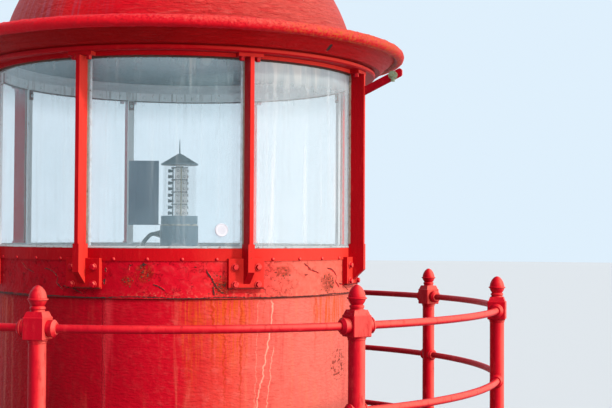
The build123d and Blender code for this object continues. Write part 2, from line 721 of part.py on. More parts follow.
def socket_pair(height, reach, body_radius, lip_radius):
    """Two sockets along the rail circle, each cut off square to the rail where it enters."""
    cut_turn = along(reach, RAIL_RADIUS)
    heading = radians(cut_turn)
    body_end = reach - SOCKET_NECK_LENGTH
    lip_start = body_end - SOCKET_LIP_LENGTH
    profile = Polyline(
        (0, 0),
        (0, body_radius),
        (lip_start, body_radius),
        (lip_start + SOCKET_EDGE, lip_radius),
        (body_end - SOCKET_EDGE, lip_radius),
        (body_end, lip_radius - SOCKET_EDGE),
        (reach + SOCKET_EDGE, SOCKET_NECK_DIAMETER / 2),
        (reach + SOCKET_EDGE, 0),
        close=True,
    )
    socket = revolve(make_face(profile), Axis.X, 360)
    socket = Pos(0, -RAIL_RADIUS, raised(height)) * socket
    outwards = (sin(heading), -cos(heading), 0)
    along_rail = (cos(heading), sin(heading), 0)
    end = Plane(origin=(0, 0, 0), x_dir=outwards, z_dir=along_rail)
    socket = split(socket, bisect_by=end, keep=Keep.BOTTOM)
    return socket + mirror(socket, about=Plane.YZ)


def rail_post():
    """Cast post at the front: foot, tube, tees for the lower rails, cube knuckle and finial."""
    radius = POST_DIAMETER / 2
    step = POST_COLLAR_STEP
    cube_low = RAIL_TOP_HEIGHT - CUBE_SIDE / 2
    shaft = polygon(
        [
            (0, 0),
            (POST_FOOT_DIAMETER / 2, 0),
            (POST_FOOT_DIAMETER / 2, POST_FOOT_THICK),
            (radius + POST_FOOT_THICK, POST_FOOT_THICK),
            (radius, POST_FOOT_THICK + POST_FOOT_CONE),
            (radius, cube_low - POST_COLLAR_HEIGHT),
            (radius + step, cube_low - POST_COLLAR_HEIGHT + step),
            (radius + step, cube_low - 3 * step),
            (radius + 2.5 * step, cube_low - 2 * step),
            (radius + 2.5 * step, cube_low + FUSE),
            (0, cube_low + FUSE),
        ]
    )
    post = Pos(0, -RAIL_RADIUS, 0) * revolve(shaft, Axis.Z, 360)
    cube = chamfer(Box(CUBE_SIDE, CUBE_SIDE, CUBE_SIDE).edges(), CUBE_CHAMFER)
    wide = CUBE_SIDE - 2 * CAP_INSET
    narrow = 2 * (FINIAL_NECK_RADIUS + CUBE_CHAMFER)
    cap_base = Plane.XY.offset(CUBE_SIDE / 2 - FUSE) * Rectangle(wide, wide)
    cap_top = Plane.XY.offset(CUBE_SIDE / 2 + FINIAL_CAP_HEIGHT) * Rectangle(narrow, narrow)
    cap = loft([cap_base, cap_top])
    finial = revolve(finial_profile(), Axis.Z, 360)
    post += Pos(0, -RAIL_RADIUS, raised(RAIL_TOP_HEIGHT)) * (cube + cap + finial)
    post += socket_pair(RAIL_TOP_HEIGHT, SOCKET_REACH, SOCKET_DIAMETER / 2, SOCKET_LIP_DIAMETER / 2)
    for number in range(1, len(RAILS)):
        height = RAIL_TOP_HEIGHT - number * RAIL_PITCH
        post += socket_pair(height, TEE_REACH, TEE_DIAMETER / 2, TEE_LIP_DIAMETER / 2)
    return post


def rail(height, reach):
    """Curved rails of one height, each from socket to socket."""
    section = Plane.XZ * Pos(RAIL_RADIUS, raised(height)) * Circle(RAIL_DIAMETER / 2)
    clear = along(reach, RAIL_RADIUS)
    return [swept(section, POST_TURN + BAY * k + clear, BAY - 2 * clear) for k in range(BAYS)]


def lamp_pedestal():
    """Column with a foot flange, a round table on top and a gland for the lead."""
    section = polygon(
        [
            (0, 0),
            (PEDESTAL_FOOT_RADIUS, 0),
            (PEDESTAL_FOOT_RADIUS, PEDESTAL_FOOT_THICK),
            (PEDESTAL_RADIUS, 3 * PEDESTAL_FOOT_THICK),
            (PEDESTAL_RADIUS, TABLE_HEIGHT - TABLE_THICK - TABLE_BRACKET),
            (PEDESTAL_RADIUS + TABLE_BRACKET, TABLE_HEIGHT - TABLE_THICK),
            (TABLE_RADIUS, TABLE_HEIGHT - TABLE_THICK),
            (TABLE_RADIUS, TABLE_HEIGHT),
            (0, TABLE_HEIGHT),
        ]
    )
    return revolve(section, Axis.Z, 360) + gland(PEDESTAL_RADIUS, PEDESTAL_GLAND_HEIGHT)


def gland(radius, height):
    """Cable gland that stands out towards -X from a round body."""
    length = GLAND_LENGTH + GLAND_SEAT
    body = Cylinder(GLAND_DIAMETER / 2, length, align=STANDING)
    return Pos(GLAND_SEAT - radius, 0, raised(height)) * Rot(0, -90, 0) * body


def lamp_base():
    """Round lamp body with a groove under the flange that carries the tube."""
    body_top = LAMP_FLANGE_BOTTOM_HEIGHT - LAMP_GROOVE_DEPTH
    section = polygon(
        [
            (0, TABLE_HEIGHT),
            (LAMP_FOOT_RADIUS, TABLE_HEIGHT),
            (LAMP_FOOT_RADIUS, TABLE_HEIGHT + LAMP_FOOT_THICK),
            (LAMP_BODY_RADIUS, TABLE_HEIGHT + LAMP_FOOT_THICK + LAMP_GROOVE_DEPTH),
            (LAMP_BODY_RADIUS, body_top),
            (LAMP_GROOVE_RADIUS, body_top),
            (LAMP_GROOVE_RADIUS, LAMP_FLANGE_BOTTOM_HEIGHT),
            (LAMP_FLANGE_RADIUS, LAMP_FLANGE_BOTTOM_HEIGHT),
            (LAMP_FLANGE_RADIUS, LAMP_TUBE_BOTTOM_HEIGHT),
            (0, LAMP_TUBE_BOTTOM_HEIGHT),
        ]
    )
    return revolve(section, Axis.Z, 360) + gland(LAMP_BODY_RADIUS, CONDUIT_EXIT_HEIGHT)


def lamp_tube():
    inside = LAMP_TUBE_RADIUS - LAMP_TUBE_THICK
    section = slab(inside, LAMP_TUBE_RADIUS, LAMP_TUBE_BOTTOM_HEIGHT, LAMP_TUBE_TOP_HEIGHT)
    return revolve(section, Axis.Z, 360)


def upright(width, depth, bottom, top, x=0, y=0):
    """Box that stands at x, y between two heights."""
    block = Box(width, depth, top - bottom, align=STANDING)
    return Pos(x, y, raised(bottom)) * block


def led_stack():
    """Four square lamp drums between plates, a side board for the second row, and a rod in front."""
    bottom = LAMP_TUBE_BOTTOM_HEIGHT
    stack_top = LAMP_TUBE_TOP_HEIGHT - STACK_HEADROOM
    tier = (stack_top - bottom) / STACK_TIERS
    stack = upright(STACK_DRUM_SIDE, STACK_DRUM_SIDE, bottom, stack_top, STACK_DRUM_OFFSET)
    stack += upright(STACK_BOARD_THICK, STACK_BOARD_WIDTH, bottom, stack_top, -STACK_BOARD_OFFSET)
    for k in range(1, STACK_TIERS + 1):
        level = bottom + k * tier
        stack += upright(STACK_PLATE_SIDE, STACK_PLATE_SIDE, level - STACK_PLATE_THICK, level)
    stack += disc(STACK_NECK_RADIUS, stack_top - FUSE, STACK_HEADROOM + FUSE)
    rod = Cylinder(STACK_ROD_DIAMETER / 2, stack_top - bottom, align=STANDING)
    stack += Pos(STACK_DRUM_OFFSET, STACK_ROD_DIAMETER - STACK_PLATE_SIDE / 2, raised(bottom)) * rod
    return stack


def lamp_hat():
    rim = LAMP_TUBE_TOP_HEIGHT
    apex = rim + HAT_RIM_THICK + HAT_RISE
    section = polygon(
        [
            (0, rim),
            (HAT_RADIUS, rim),
            (HAT_RADIUS, rim + HAT_RIM_THICK),
            (HAT_TOP_RADIUS, apex),
            (SPIKE_RADIUS, apex + SPIKE_RADIUS),
            (SPIKE_TIP_RADIUS, rim + SPIKE_LENGTH),
            (0, rim + SPIKE_LENGTH),
        ]
    )
    return revolve(section, Axis.Z, 360)


def lamp_screen():
    """Folded sheet beside the lamp, held by a tab on the lamp's flange."""
    fold = SCREEN_FOLD_X - SCREEN_FAR_X
    outline = Polyline(
        (SCREEN_NEAR_X, 0),
        (SCREEN_FOLD_X, 0),
        (SCREEN_FAR_X, fold),
        (SCREEN_FAR_X, fold + SCREEN_THICK * 1.4),
        (SCREEN_FOLD_X + SCREEN_THICK * 0.4, SCREEN_THICK),
        (SCREEN_NEAR_X, SCREEN_THICK),
        close=True,
    )
    sheet = extrude(make_face(outline), SCREEN_TOP - SCREEN_BOTTOM)
    sheet = Pos(0, 0, raised(SCREEN_BOTTOM)) * sheet
    reach = LAMP_FLANGE_RADIUS + SEAT_GAP
    length = SCREEN_TAB_LAP - SCREEN_NEAR_X - reach
    tab = Box(length, SCREEN_TAB_WIDTH, SCREEN_THICK, align=(Align.MAX, Align.CENTER, Align.MIN))
    return sheet + Pos(-reach, 0, raised(SCREEN_BOTTOM)) * tab


def lamp_conduit():
    """Rigid lead from the lamp's gland, out past the table and back into the column."""
    start = -(LAMP_BODY_RADIUS + GLAND_LENGTH)
    end = -(PEDESTAL_RADIUS + GLAND_LENGTH)
    outside = -(TABLE_RADIUS + CONDUIT_CLEARANCE)
    top = raised(CONDUIT_EXIT_HEIGHT)
    bottom = raised(PEDESTAL_GLAND_HEIGHT)
    route = [
        (start, 0, top),
        (start - CONDUIT_STUB, 0, top),
        (outside + CONDUIT_BOW, 0, top - CONDUIT_DROP),
        (outside, 0, (top + bottom) / 2),
        (outside + CONDUIT_BOW, 0, bottom + CONDUIT_DROP),
        (end - CONDUIT_STUB, 0, bottom),
        (end, 0, bottom),
    ]
    path = FilletPolyline(*route, radius=list(CONDUIT_BENDS))
    mouth = Plane(origin=route[0], z_dir=(-1, 0, 0))
    return sweep(mouth * Circle(CONDUIT_DIAMETER / 2), path=path)


def glass_vent():
    body = Cylinder(VENT_DISC_DIAMETER / 2, VENT_DISC_THICK, align=STANDING)
    seated = Pos(0, -(GLASS_RADIUS + SEAT_GAP), raised(VENT_DISC_HEIGHT)) * Rot(90, 0, 0) * body
    return turned(seated, VENT_DISC_TURN)


os.makedirs("parts", exist_ok=True)

save("gallery_deck", gallery_deck())
save("deck_nosing", deck_nosing())
save("room_floor", room_floor())
save("base_flange", base_flange())
for number, plate in enumerate(wall_plates(), 1):
    save(f"wall_plate_{number}", plate)
save("wall_band", wall_band())
save("sill_ring", sill_ring())
save("bar_feet", bar_feet())
bar = glazing_bar()
for number in range(BAYS):
    save(f"glazing_bar_{number + 1}", turned(bar, BAR_TURN + BAY * number))
save("glass_panes", glass_panes())
save("head_ring", head_ring())
save("bar_heads", bar_heads())
save("cornice_ring", cornice_ring())
save("eave_gutter", eave_gutter())
save("dome", dome())
vent, vent_top = ventilator()
save("ventilator", vent)
save("lightning_rod", lightning_rod(vent_top))
save("conductor_arm", conductor_arm())
save("conductor_clamp", conductor_clamp())
post = rail_post()
for number in range(BAYS):
    save(f"rail_post_{number + 1}", turned(post, POST_TURN + BAY * number))
for number, name in enumerate(RAILS):
    save(name, rail(RAIL_TOP_HEIGHT - number * RAIL_PITCH, SOCKET_REACH if number == 0 else TEE_REACH))
save("lamp_pedestal", lamp_pedestal())
save("lamp_base", lamp_base())
save("lamp_tube", lamp_tube())
save("led_stack", led_stack())
save("lamp_hat", lamp_hat())
save("lamp_screen", lamp_screen())
save("lamp_conduit", lamp_conduit())
save("glass_vent", glass_vent())
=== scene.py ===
from math import asin, cos, degrees, pi, radians, sin
import bmesh
import bpy
from mathutils import Matrix, Vector, noise
from random import Random


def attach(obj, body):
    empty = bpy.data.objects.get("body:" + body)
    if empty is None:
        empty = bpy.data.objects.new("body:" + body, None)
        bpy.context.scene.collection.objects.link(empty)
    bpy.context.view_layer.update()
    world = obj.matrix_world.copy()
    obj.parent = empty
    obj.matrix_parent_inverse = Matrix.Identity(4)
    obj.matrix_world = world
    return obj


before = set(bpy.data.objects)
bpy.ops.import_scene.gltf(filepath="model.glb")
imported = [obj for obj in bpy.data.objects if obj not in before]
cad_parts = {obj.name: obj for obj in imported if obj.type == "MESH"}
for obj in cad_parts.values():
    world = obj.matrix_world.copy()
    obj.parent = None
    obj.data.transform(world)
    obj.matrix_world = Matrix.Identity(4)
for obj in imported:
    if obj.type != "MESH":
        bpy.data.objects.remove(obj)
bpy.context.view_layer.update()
scene = bpy.context.scene
SEED = 11
noise.seed_set(SEED)

# Places on the solids in metres. A level is a height above the deck's top, other heights are
# above its underside. A turn is an angle in degrees round the axis, from the front towards +X.
BAYS = 8
BAY = 360 / BAYS
DECK = 0.09
TREAD = 0.022
METRES_A_DEGREE = 0.0157
POST_TURN = -19.2
BAR_TURN = -26.6
SEAM_TURN = -21.6
RAIL_RADIUS = 1.588
FOOT_FACE = 0.9266
FIN_SIDE = 0.01
LEAF_FACE = 0.8847
LIP_FACE = 0.9056
BAND_FACE = 0.9003
WALL_FACE = 0.89
GLASS_FACE = 0.905
GLASS_BACK = 0.8965
PAINT_PARTING = 0.9005
FOOT_BACK = 0.91
RING_INSIDE = 0.872
CURB_INSIDE = 0.889
DOME_INSIDE = 0.8915
SOFFIT_START = 0.893
DOME_FOOT = 0.895
RIM_START = 1.055
LAP_LEVEL = 1.125
FOOT_LEVEL = 1.166
LIP_LEVEL = 1.287
SILL_LEVEL = 1.344
FLANGE_LEVEL = 1.445
HEAD_LEVEL = 2.17
EAVE_LEVEL = 2.216
RINGS_TOP_LEVEL = 2.262
SILL_LIP = DECK + LIP_LEVEL
SHOE_TOP = DECK + 1.36
GLASS_TOP = DECK + HEAD_LEVEL
RING_LOW = DECK + 2.167
DOME_CENTRE = DECK + 2.135
ROLL_RADIUS = 1.102
ROLL_HEIGHT = DECK + 2.287
TUBE_FOOT = DECK + 1.493
TIER = 0.06125
DRUM_X = 0.008
DRUM_HALF = 0.032

BARS = [BAR_TURN + BAY * bay for bay in range(BAYS)]

# The sun's turn and rise, and the lower rise by which the paint's sun fade
# and its painted shade and sunlight are reckoned, in degrees
SUN_TURN = 52
SUN_RISE = 33
SHADE_AND_FADE_RISE = 24


# Materials


def operator(operation, swapped=False):
    """A sum, product or comparison of two values as a node."""

    def made(self, other):
        return self.maths(operation, *((other, self) if swapped else (self, other)))

    return made


class Value:
    """A number or colour that varies over a surface. Each sum or product with it adds a node."""

    def __init__(self, finish, socket):
        self.finish = finish
        self.socket = socket

    def maths(self, operation, first, second=0):
        return self.finish.add("Math", {"operation": operation}, {0: first, 1: second}).out(0)

    __add__ = operator("ADD")
    __radd__ = operator("ADD", swapped=True)
    __sub__ = operator("SUBTRACT")
    __rsub__ = operator("SUBTRACT", swapped=True)
    __mul__ = operator("MULTIPLY")
    __rmul__ = operator("MULTIPLY", swapped=True)
    __truediv__ = operator("DIVIDE")
    __gt__ = operator("GREATER_THAN")
    __lt__ = operator("LESS_THAN")

    def __abs__(self):
        return self.maths("ABSOLUTE", self)

    def between(self, low, high):
        """0 below low, 1 above high and a smooth step from one to the other."""
        ends = {0: self, 1: low, 2: high, 3: 0, 4: 1}
        return self.finish.add("MapRange", {"interpolation_type": "SMOOTHSTEP"}, ends).out(0)


class Node:
    """A node with its settings made, to take values from."""

    def __init__(self, finish, made):
        self.finish = finish
        self.made = made

    def out(self, name):
        return Value(self.finish, self.made.outputs[name])


def towards(turn, rise):
    """Direction to a light at a turn and a rise in degrees."""
    turn, rise = radians(turn), radians(rise)
    return sin(turn) * cos(rise), -cos(turn) * cos(rise), sin(rise)


class Finish:
    """One material and the nodes that make it."""

    def __init__(self, name, metallic=0, specular=0.5):
        self.material = bpy.data.materials.new(name)
        self.material.use_nodes = True
        self.tree = self.material.node_tree
        self.shader = self.tree.nodes["Principled BSDF"]
        self.shader.inputs["Metallic"].default_value = metallic
        self.shader.inputs["Specular IOR Level"].default_value = specular
        self.where = self.add("TexCoord")
        self.place = self.where.out("Object")

    def add(self, kind, settings=None, sockets=None):
        """Any node: its type, its settings and what its sockets hold."""
        made = self.tree.nodes.new("ShaderNode" + kind)
        for key, value in (settings or {}).items():
            setattr(made, key, value)
        self.fill(made, sockets or {})
        return Node(self, made)

    def fill(self, made, sockets):
        """Set the sockets of a node, or link them to values that vary."""
        for key, value in sockets.items():
            if isinstance(value, Value):
                self.tree.links.new(value.socket, made.inputs[key])
            else:
                made.inputs[key].default_value = value

    def set(self, **sockets):
        """Sockets of the shader, with _ for a space in their names."""
        self.fill(self.shader, {key.replace("_", " "): value for key, value in sockets.items()})
        return self.material

    def parts(self, vector=None):
        split = self.add("SeparateXYZ", None, {0: vector or self.place})
        return split.out(0), split.out(1), split.out(2)

    def vector(self, x, y, z):
        return self.add("CombineXYZ", None, {0: x, 1: y, 2: z}).out(0)

    def round_place(self):
        """Turn in degrees, distance from the axis and height above the deck of a point."""
        x, y, z = self.parts()
        turn = self.add("Math", {"operation": "ARCTAN2"}, {0: x, 1: 0 - y}).out(0)
        flat = self.vector(x, y, 0)
        radius = self.add("VectorMath", {"operation": "LENGTH"}, {0: flat}).out("Value")
        return turn * (180 / pi), radius, z - DECK

    def facing(self, patches, spread):
        """How squarely the paint has stood to the sun, uneven in patches."""
        ends = {0: self.where.out("Normal"), 1: towards(SUN_TURN, SHADE_AND_FADE_RISE)}
        share = self.add("VectorMath", {"operation": "DOT_PRODUCT"}, ends)
        return share.out("Value") + (patches - 0.5) * spread

    def zigzag(self, value, half):
        """Up from 0 to half and down again, over and over."""
        return self.add("Math", {"operation": "PINGPONG"}, {0: value, 1: half}).out(0)

    def grain(self, *look):
        """Noise in the object's own space."""
        return self.noise(self.place, *look)

    def drawn(self, vector, scales, *look):
        """Noise that is drawn out or pressed together along each of the three axes."""
        scaled = self.add("VectorMath", {"operation": "MULTIPLY"}, {0: vector, 1: scales})
        return self.noise(scaled.out(0), *look)

    def noise(self, vector, scale, detail=3, rough=0.55, twist=0):
        sockets = {"Vector": vector, "Scale": scale, "Detail": detail, "Roughness": rough}
        return self.add("TexNoise", None, {**sockets, "Distortion": twist}).out(0)

    def mix(self, share, first, second):
        """Colours mixed by a share, from the first at 0 to the second at 1."""

        def full(colour):
            return (*colour, 1) if isinstance(colour, tuple) else colour

        sockets = {0: share, 6: full(first), 7: full(second)}
        return self.add("Mix", {"data_type": "RGBA"}, sockets).out(2)

    def coat(self, share, colour):
        """A colour laid over the finish's own by a share."""
        self.colour = self.mix(share, self.colour, colour)

    def ramp(self, share, stops):
        """A colour that goes from stop to stop as a share rises."""
        node = self.add("ValToRGB", None, {0: share})
        ramp = node.made.color_ramp.elements
        while len(ramp) < len(stops):
            ramp.new(0.5)
        for stop, (position, colour) in zip(ramp, stops):
            stop.position = position
            stop.color = (*colour, 1)
        return node.out(0)

    def done(self, rough, height, depth):
        """The finish's colour with a roughness and with bumps of a depth in metres."""
        bumps = self.add("Bump", None, {"Height": height, "Distance": depth, "Strength": 1})
        return self.set(Base_Color=self.colour, Roughness=rough, Normal=bumps.out(0))


# Colours as shares of red, green and blue. A fade-and-shade table runs from the paint's shaded
# side to its sunny side, as pairs of how squarely it faces the sun and its colour there. It is
# partly paint faded by the sun and partly painted shade and sunlight.
RUST = (0.26, 0.055, 0.014)
GRIME = (0.022, 0.014, 0.012)
PALE_INSIDE = (0.42, 0.5, 0.55)
RAIL_FADE_AND_SHADE = (
    (0, (0.32, 0.001, 0.009)), (0.36, (0.56, 0.002, 0.016)), (0.64, (0.78, 0.017, 0.026)),
    (0.9, (0.93, 0.13, 0.1)),
)
WALL_FADE_AND_SHADE = (
    (0, (0.29, 0.001, 0.007)), (0.28, (0.44, 0.001, 0.011)), (0.55, (0.64, 0.004, 0.017)),
    (0.72, (0.82, 0.062, 0.045)), (0.88, (0.92, 0.175, 0.13)),
)
BAND_FADE_AND_SHADE = (
    (0, (0.34, 0.001, 0.008)), (0.28, (0.46, 0.001, 0.011)), (0.55, (0.72, 0.005, 0.02)),
    (0.76, (0.92, 0.036, 0.036)), (0.9, (0.95, 0.16, 0.11)),
)
FRAME_FADE_AND_SHADE = (
    (0, (0.34, 0.001, 0.005)), (0.32, (0.48, 0.001, 0.006)), (0.6, (0.64, 0.004, 0.009)),
    (0.9, (0.94, 0.054, 0.036)),
)
ROOF_FADE_AND_SHADE = (
    (0, (0.5, 0.001, 0.004)), (0.2, (0.94, 0.001, 0.01)), (0.46, (0.98, 0.004, 0.02)),
    (0.74, (0.97, 0.045, 0.045)), (0.98, (0.96, 0.13, 0.1)),
)
SOFFIT_PAINTED_SHADE = (
    (0, (0.36, 0.001, 0.002)), (0.3, (0.66, 0.001, 0.003)), (0.55, (0.99, 0.003, 0.007)),
)
CRUST_FADE_AND_SHADE = (
    (0, (0.66, 0.001, 0.012)), (0.3, (0.94, 0.001, 0.014)), (0.58, (0.97, 0.006, 0.022)),
    (0.9, (0.97, 0.09, 0.07)),
)

# Patches of stain: turn, level, reach across in degrees, reach up in metres, strength.
WALL_RUST = (
    (14.6, 1.1, 9, 0.36, 1), (4, 1.09, 4.2, 0.42, 0.8), (52, 1.07, 12, 0.16, 0.9),
    (-66, 1.08, 9, 0.3, 0.3), (112, 1.08, 14, 0.34, 1), (158, 1.1, 8, 0.4, 1),
    (-128, 1.08, 12, 0.38, 1),
)
WALL_GRAZE = (57, 0.8, 6, 0.09)
BAND_STAINS = (
    (12, 1.175, 3.6, 0.055, 1), (49.5, 1.185, 4.4, 0.055, 1), (-9.4, 1.235, 3.2, 0.05, 1),
    (-14.2, 1.2, 2.2, 0.026, 1), (30.5, 1.24, 3.4, 0.03, 1), (106, 1.185, 6, 0.06, 1),
    (172, 1.2, 7, 0.06, 1), (-104, 1.19, 6, 0.06, 1),
)
# Rust drips below the lap line: turn, half width in degrees, level of the end, strength.
RUST_DRIPS = (
    (9.4, 0.34, 0.9, 0.9), (10.5, 0.2, 1, 0.6), (12.9, 0.22, 0.72, 0.7),
    (14.4, 0.16, 0.92, 0.5), (17.6, 0.26, 0.7, 0.7), (19, 0.16, 0.88, 0.5),
    (3.5, 0.5, 0.8, 0.45), (24.6, 0.16, 0.95, 0.4), (44, 0.3, 0.95, 0.5),
    (-44, 0.3, 0.85, 0.35), (104, 0.34, 0.8, 0.7), (155, 0.3, 0.75, 0.7),
)
# Pale drips: turn at the start, degrees that they lean to the left in each metre below the
# kink, fall to the kink, half width in degrees, strength, level of the start.
PALE_DRIPS = (
    (27.5, 13, 0.1, 0.3, 0.85, LAP_LEVEL), (27.9, 8, 0.02, 0.22, 0.62, 0.92),
    (23, 2, 0, 0.18, 0.35, LAP_LEVEL), (-62.5, 3, 0, 1.2, 0.1, LAP_LEVEL),
    (-58, 0, 0, 0.9, 0.08, LAP_LEVEL), (118, 6, 0.1, 0.34, 0.6, LAP_LEVEL),
    (203, 5, 0.05, 0.3, 0.6, LAP_LEVEL),
)
# Dirty runs down the panes: turn, half width at the top in degrees, length in metres.
PANE_RUNS = (
    (28.3, 2.6, 0.09), (31.8, 0.7, 0.17), (35.2, 2.4, 0.12), (38.8, 0.6, 0.19),
    (42.9, 1.8, 0.15), (2.8, 1.2, 0.17), (7.2, 1.6, 0.05), (98, 1.8, 0.1),
    (-92, 1.4, 0.09),
)


def stripe(value, middle, half):
    """1 on a line through middle, 0 from half a width away."""
    return 1 - abs(value - middle).between(half * 0.35, half)


def spot(turn, height, middle, level, across, up):
    """Soft round share over a patch of a round wall, its reach in degrees and metres."""
    first = (turn - middle) / across
    second = (height - level) / up
    return 1 - (first * first + second * second).between(0.15, 1)


def all_spots(turn, height, patches):
    """The shares of several patches together, each with its strength."""
    return sum(spot(turn, height, *patch) * strength for *patch, strength in patches)


def coated_red(name, rough=0.32, lumps=0.0042, brush=(1, 1, 1)):
    """Many coats of red paint brushed on iron, chalky on the sunny side, with painted sun and
    shade.
    """
    finish = Finish(name, specular=0.06)
    patches = finish.grain(5, 4)
    # Colour by how it faces the sun: sun-faded paint with painted shade and sunlight
    finish.colour = finish.ramp(finish.facing(patches, 0.22), RAIL_FADE_AND_SHADE)
    strokes = finish.drawn(finish.place, brush, 38, 6, 0.68)
    bright = strokes.between(0.52, 0.72) * 0.26
    deep = (1 - strokes).between(0.52, 0.68) * 0.55
    specks = finish.grain(120, 3, 0.6).between(0.665, 0.72) * 0.6
    finish.coat(bright, (0.92, 0.06, 0.06))
    finish.coat(deep, (0.42, 0.001, 0.01))
    finish.coat(specks, RUST)
    fine = finish.grain(210, 3)
    return finish.done(rough + strokes * 0.2, strokes * 0.7 + fine * 0.3, lumps)


def sheet_red(name, fade_and_shade):
    """Start of an old painted sheet: its places, its share of sun and its mottle, coloured by sun
    fade with painted shade and sunlight.
    """
    finish = Finish(name, specular=0.035)
    turn, radius, height = finish.round_place()
    sheet = finish.vector(turn * METRES_A_DEGREE, height, radius)
    patches = finish.noise(sheet, 2.3, 4)
    share = finish.facing(patches, 0.2)
    finish.colour = finish.ramp(share, fade_and_shade)
    mottle = finish.noise(sheet, 30, 5, 0.66)
    # Pale pink mottle, mostly on the sunny side: paint bleached by the sun and painted sunlight
    bleached_and_sunlit = mottle.between(0.46, 0.78) * (0.03 + share.between(0.3, 0.8) * 0.24)
    deep = (1 - mottle).between(0.5, 0.76) * 0.26
    finish.coat(bleached_and_sunlit, (0.93, 0.24, 0.2))
    finish.coat(deep, (0.5, 0.002, 0.014))
    return finish, turn, radius, height, sheet, share, mottle


def wall_red():
    """Wall plates: rust drips under the lap, orange streaks, pale drip lines and grazes."""
    finish, turn, radius, height, sheet, share, mottle = sheet_red("wall_red", WALL_FADE_AND_SHADE)
    # Orange streaks, strongest on the sunny side, partly painted sunlight
    sunny = share.between(0.35, 0.8)
    run = finish.drawn(sheet, (13, 1.1, 1), 1.7, 5, 0.6, 0.35)
    finish.coat(run.between(0.52, 0.7) * (0.08 + sunny * 0.42), (0.93, 0.2, 0.12))
    finish.coat((1 - run).between(0.55, 0.7) * 0.34, (0.6, 0.004, 0.015))

    # Rust from the lap line, as fine streaks and as single drips
    under = (LAP_LEVEL - height).between(0, 0.012)
    fading = 1 - (LAP_LEVEL - height).between(0.05, 0.62)
    fine = finish.drawn(sheet, (80, 4.5, 1), 1, 4, 0.66, 0.6)
    rusty = all_spots(turn, height, WALL_RUST) * fine.between(0.46, 0.62) * fading * under
    finish.coat(rusty * 0.95, (0.76, 0.095, 0.01))
    drift = finish.drawn(sheet, (9, 15, 0), 1.6, 4, 0.6) - 0.5
    for start, half, level, strength in RUST_DRIPS:
        line = stripe(turn + drift * 3.2, start, half * 1.35) * under
        line = line * (height - level).between(-0.22, 0.16)
        finish.coat(line * strength, (0.62, 0.04, 0.008))
    for start, lean, kink, half, strength, level in PALE_DRIPS:
        fall = level - height
        lower = fall - kink
        middle = start - (lower + abs(lower)) * (lean / 2) + drift * 2.2
        line = stripe(turn, middle, half) * fall.between(0, 0.03)
        finish.coat(line * strength, (0.95, 0.42, 0.3))

    # Upright joint of two plates, a grazed patch and the shade under the lap
    seam = stripe(turn, SEAM_TURN + 1.6, 2.4) * run.between(0.4, 0.6)
    finish.coat(seam * 0.3, (0.82, 0.06, 0.075))
    joint = stripe(turn + drift, SEAM_TURN, 0.3) * run.between(0.35, 0.55)
    finish.coat(joint * 0.5, (0.42, 0.001, 0.012))
    bare = finish.noise(sheet, 55, 5, 0.72).between(0.54, 0.6)
    graze = spot(turn, height, *WALL_GRAZE) * bare
    finish.coat(graze * 0.75, (0.36, 0.05, 0.03))
    lap_shade = 1 - (LAP_LEVEL - height).between(0.001, 0.01)
    outer = radius > WALL_FACE - 0.0015
    finish.coat(lap_shade * outer * 0.75, (0.1, 0.008, 0.008))
    grey = finish.mix(mottle, PALE_INSIDE, (0.34, 0.41, 0.45))
    finish.coat(radius < WALL_FACE - 0.005, grey)
    dimples = finish.drawn(sheet, (0.7, 1.6, 1), 62, 3, 0.5)
    lumps = mottle * 0.4 + dimples * 0.6 + run * 0.3 - graze * 0.6 - joint * 0.5
    return finish.done(0.36 + mottle * 0.2, lumps, 0.0085)


def band_red():
    """Raised band under the sill: swollen paint with stains, bare specks and fine cracks."""
    finish, turn, _, height, sheet, share, mottle = sheet_red("band_red", BAND_FADE_AND_SHADE)
    swollen = finish.noise(sheet, 15, 4, 0.6, 0.4)
    rough = finish.noise(sheet, 60, 6, 0.8)
    stains = all_spots(turn, height, BAND_STAINS)
    flaked = rough.between(0.47, 0.55) * stains
    finish.coat(flaked * 0.5, (0.64, 0.075, 0.02))
    finish.coat(rough.between(0.6, 0.68) * stains * 0.6, (0.26, 0.035, 0.014))
    # Pale coral dust near the lap, only on the sunny side, partly painted sunlight
    low = 1 - (height - LAP_LEVEL).between(0.004, 0.05)
    dust_and_sunlight = low * rough.between(0.5, 0.66) * share.between(0.2, 0.6)
    finish.coat(dust_and_sunlight * 0.55, (0.9, 0.3, 0.17))
    hair = finish.noise(sheet, 9, 6, 0.7)
    broken = finish.noise(sheet, 5, 2).between(0.46, 0.6)
    hairline = (1 - abs(hair - 0.5).between(0.001, 0.006)) * broken
    hairline = hairline * (LIP_LEVEL - height).between(0, 0.01)
    finish.coat(hairline * 0.55, (0.2, 0.005, 0.01))
    dots = finish.noise(sheet, 150, 2).between(0.7, 0.75) * (0.25 + stains)
    finish.coat(dots * 0.7, (0.1, 0.025, 0.012))
    lumps = mottle * 0.35 + swollen * 0.65 + flaked * 0.2 - hairline * 0.3
    return finish.done(0.34 + mottle * 0.22, lumps, 0.013)


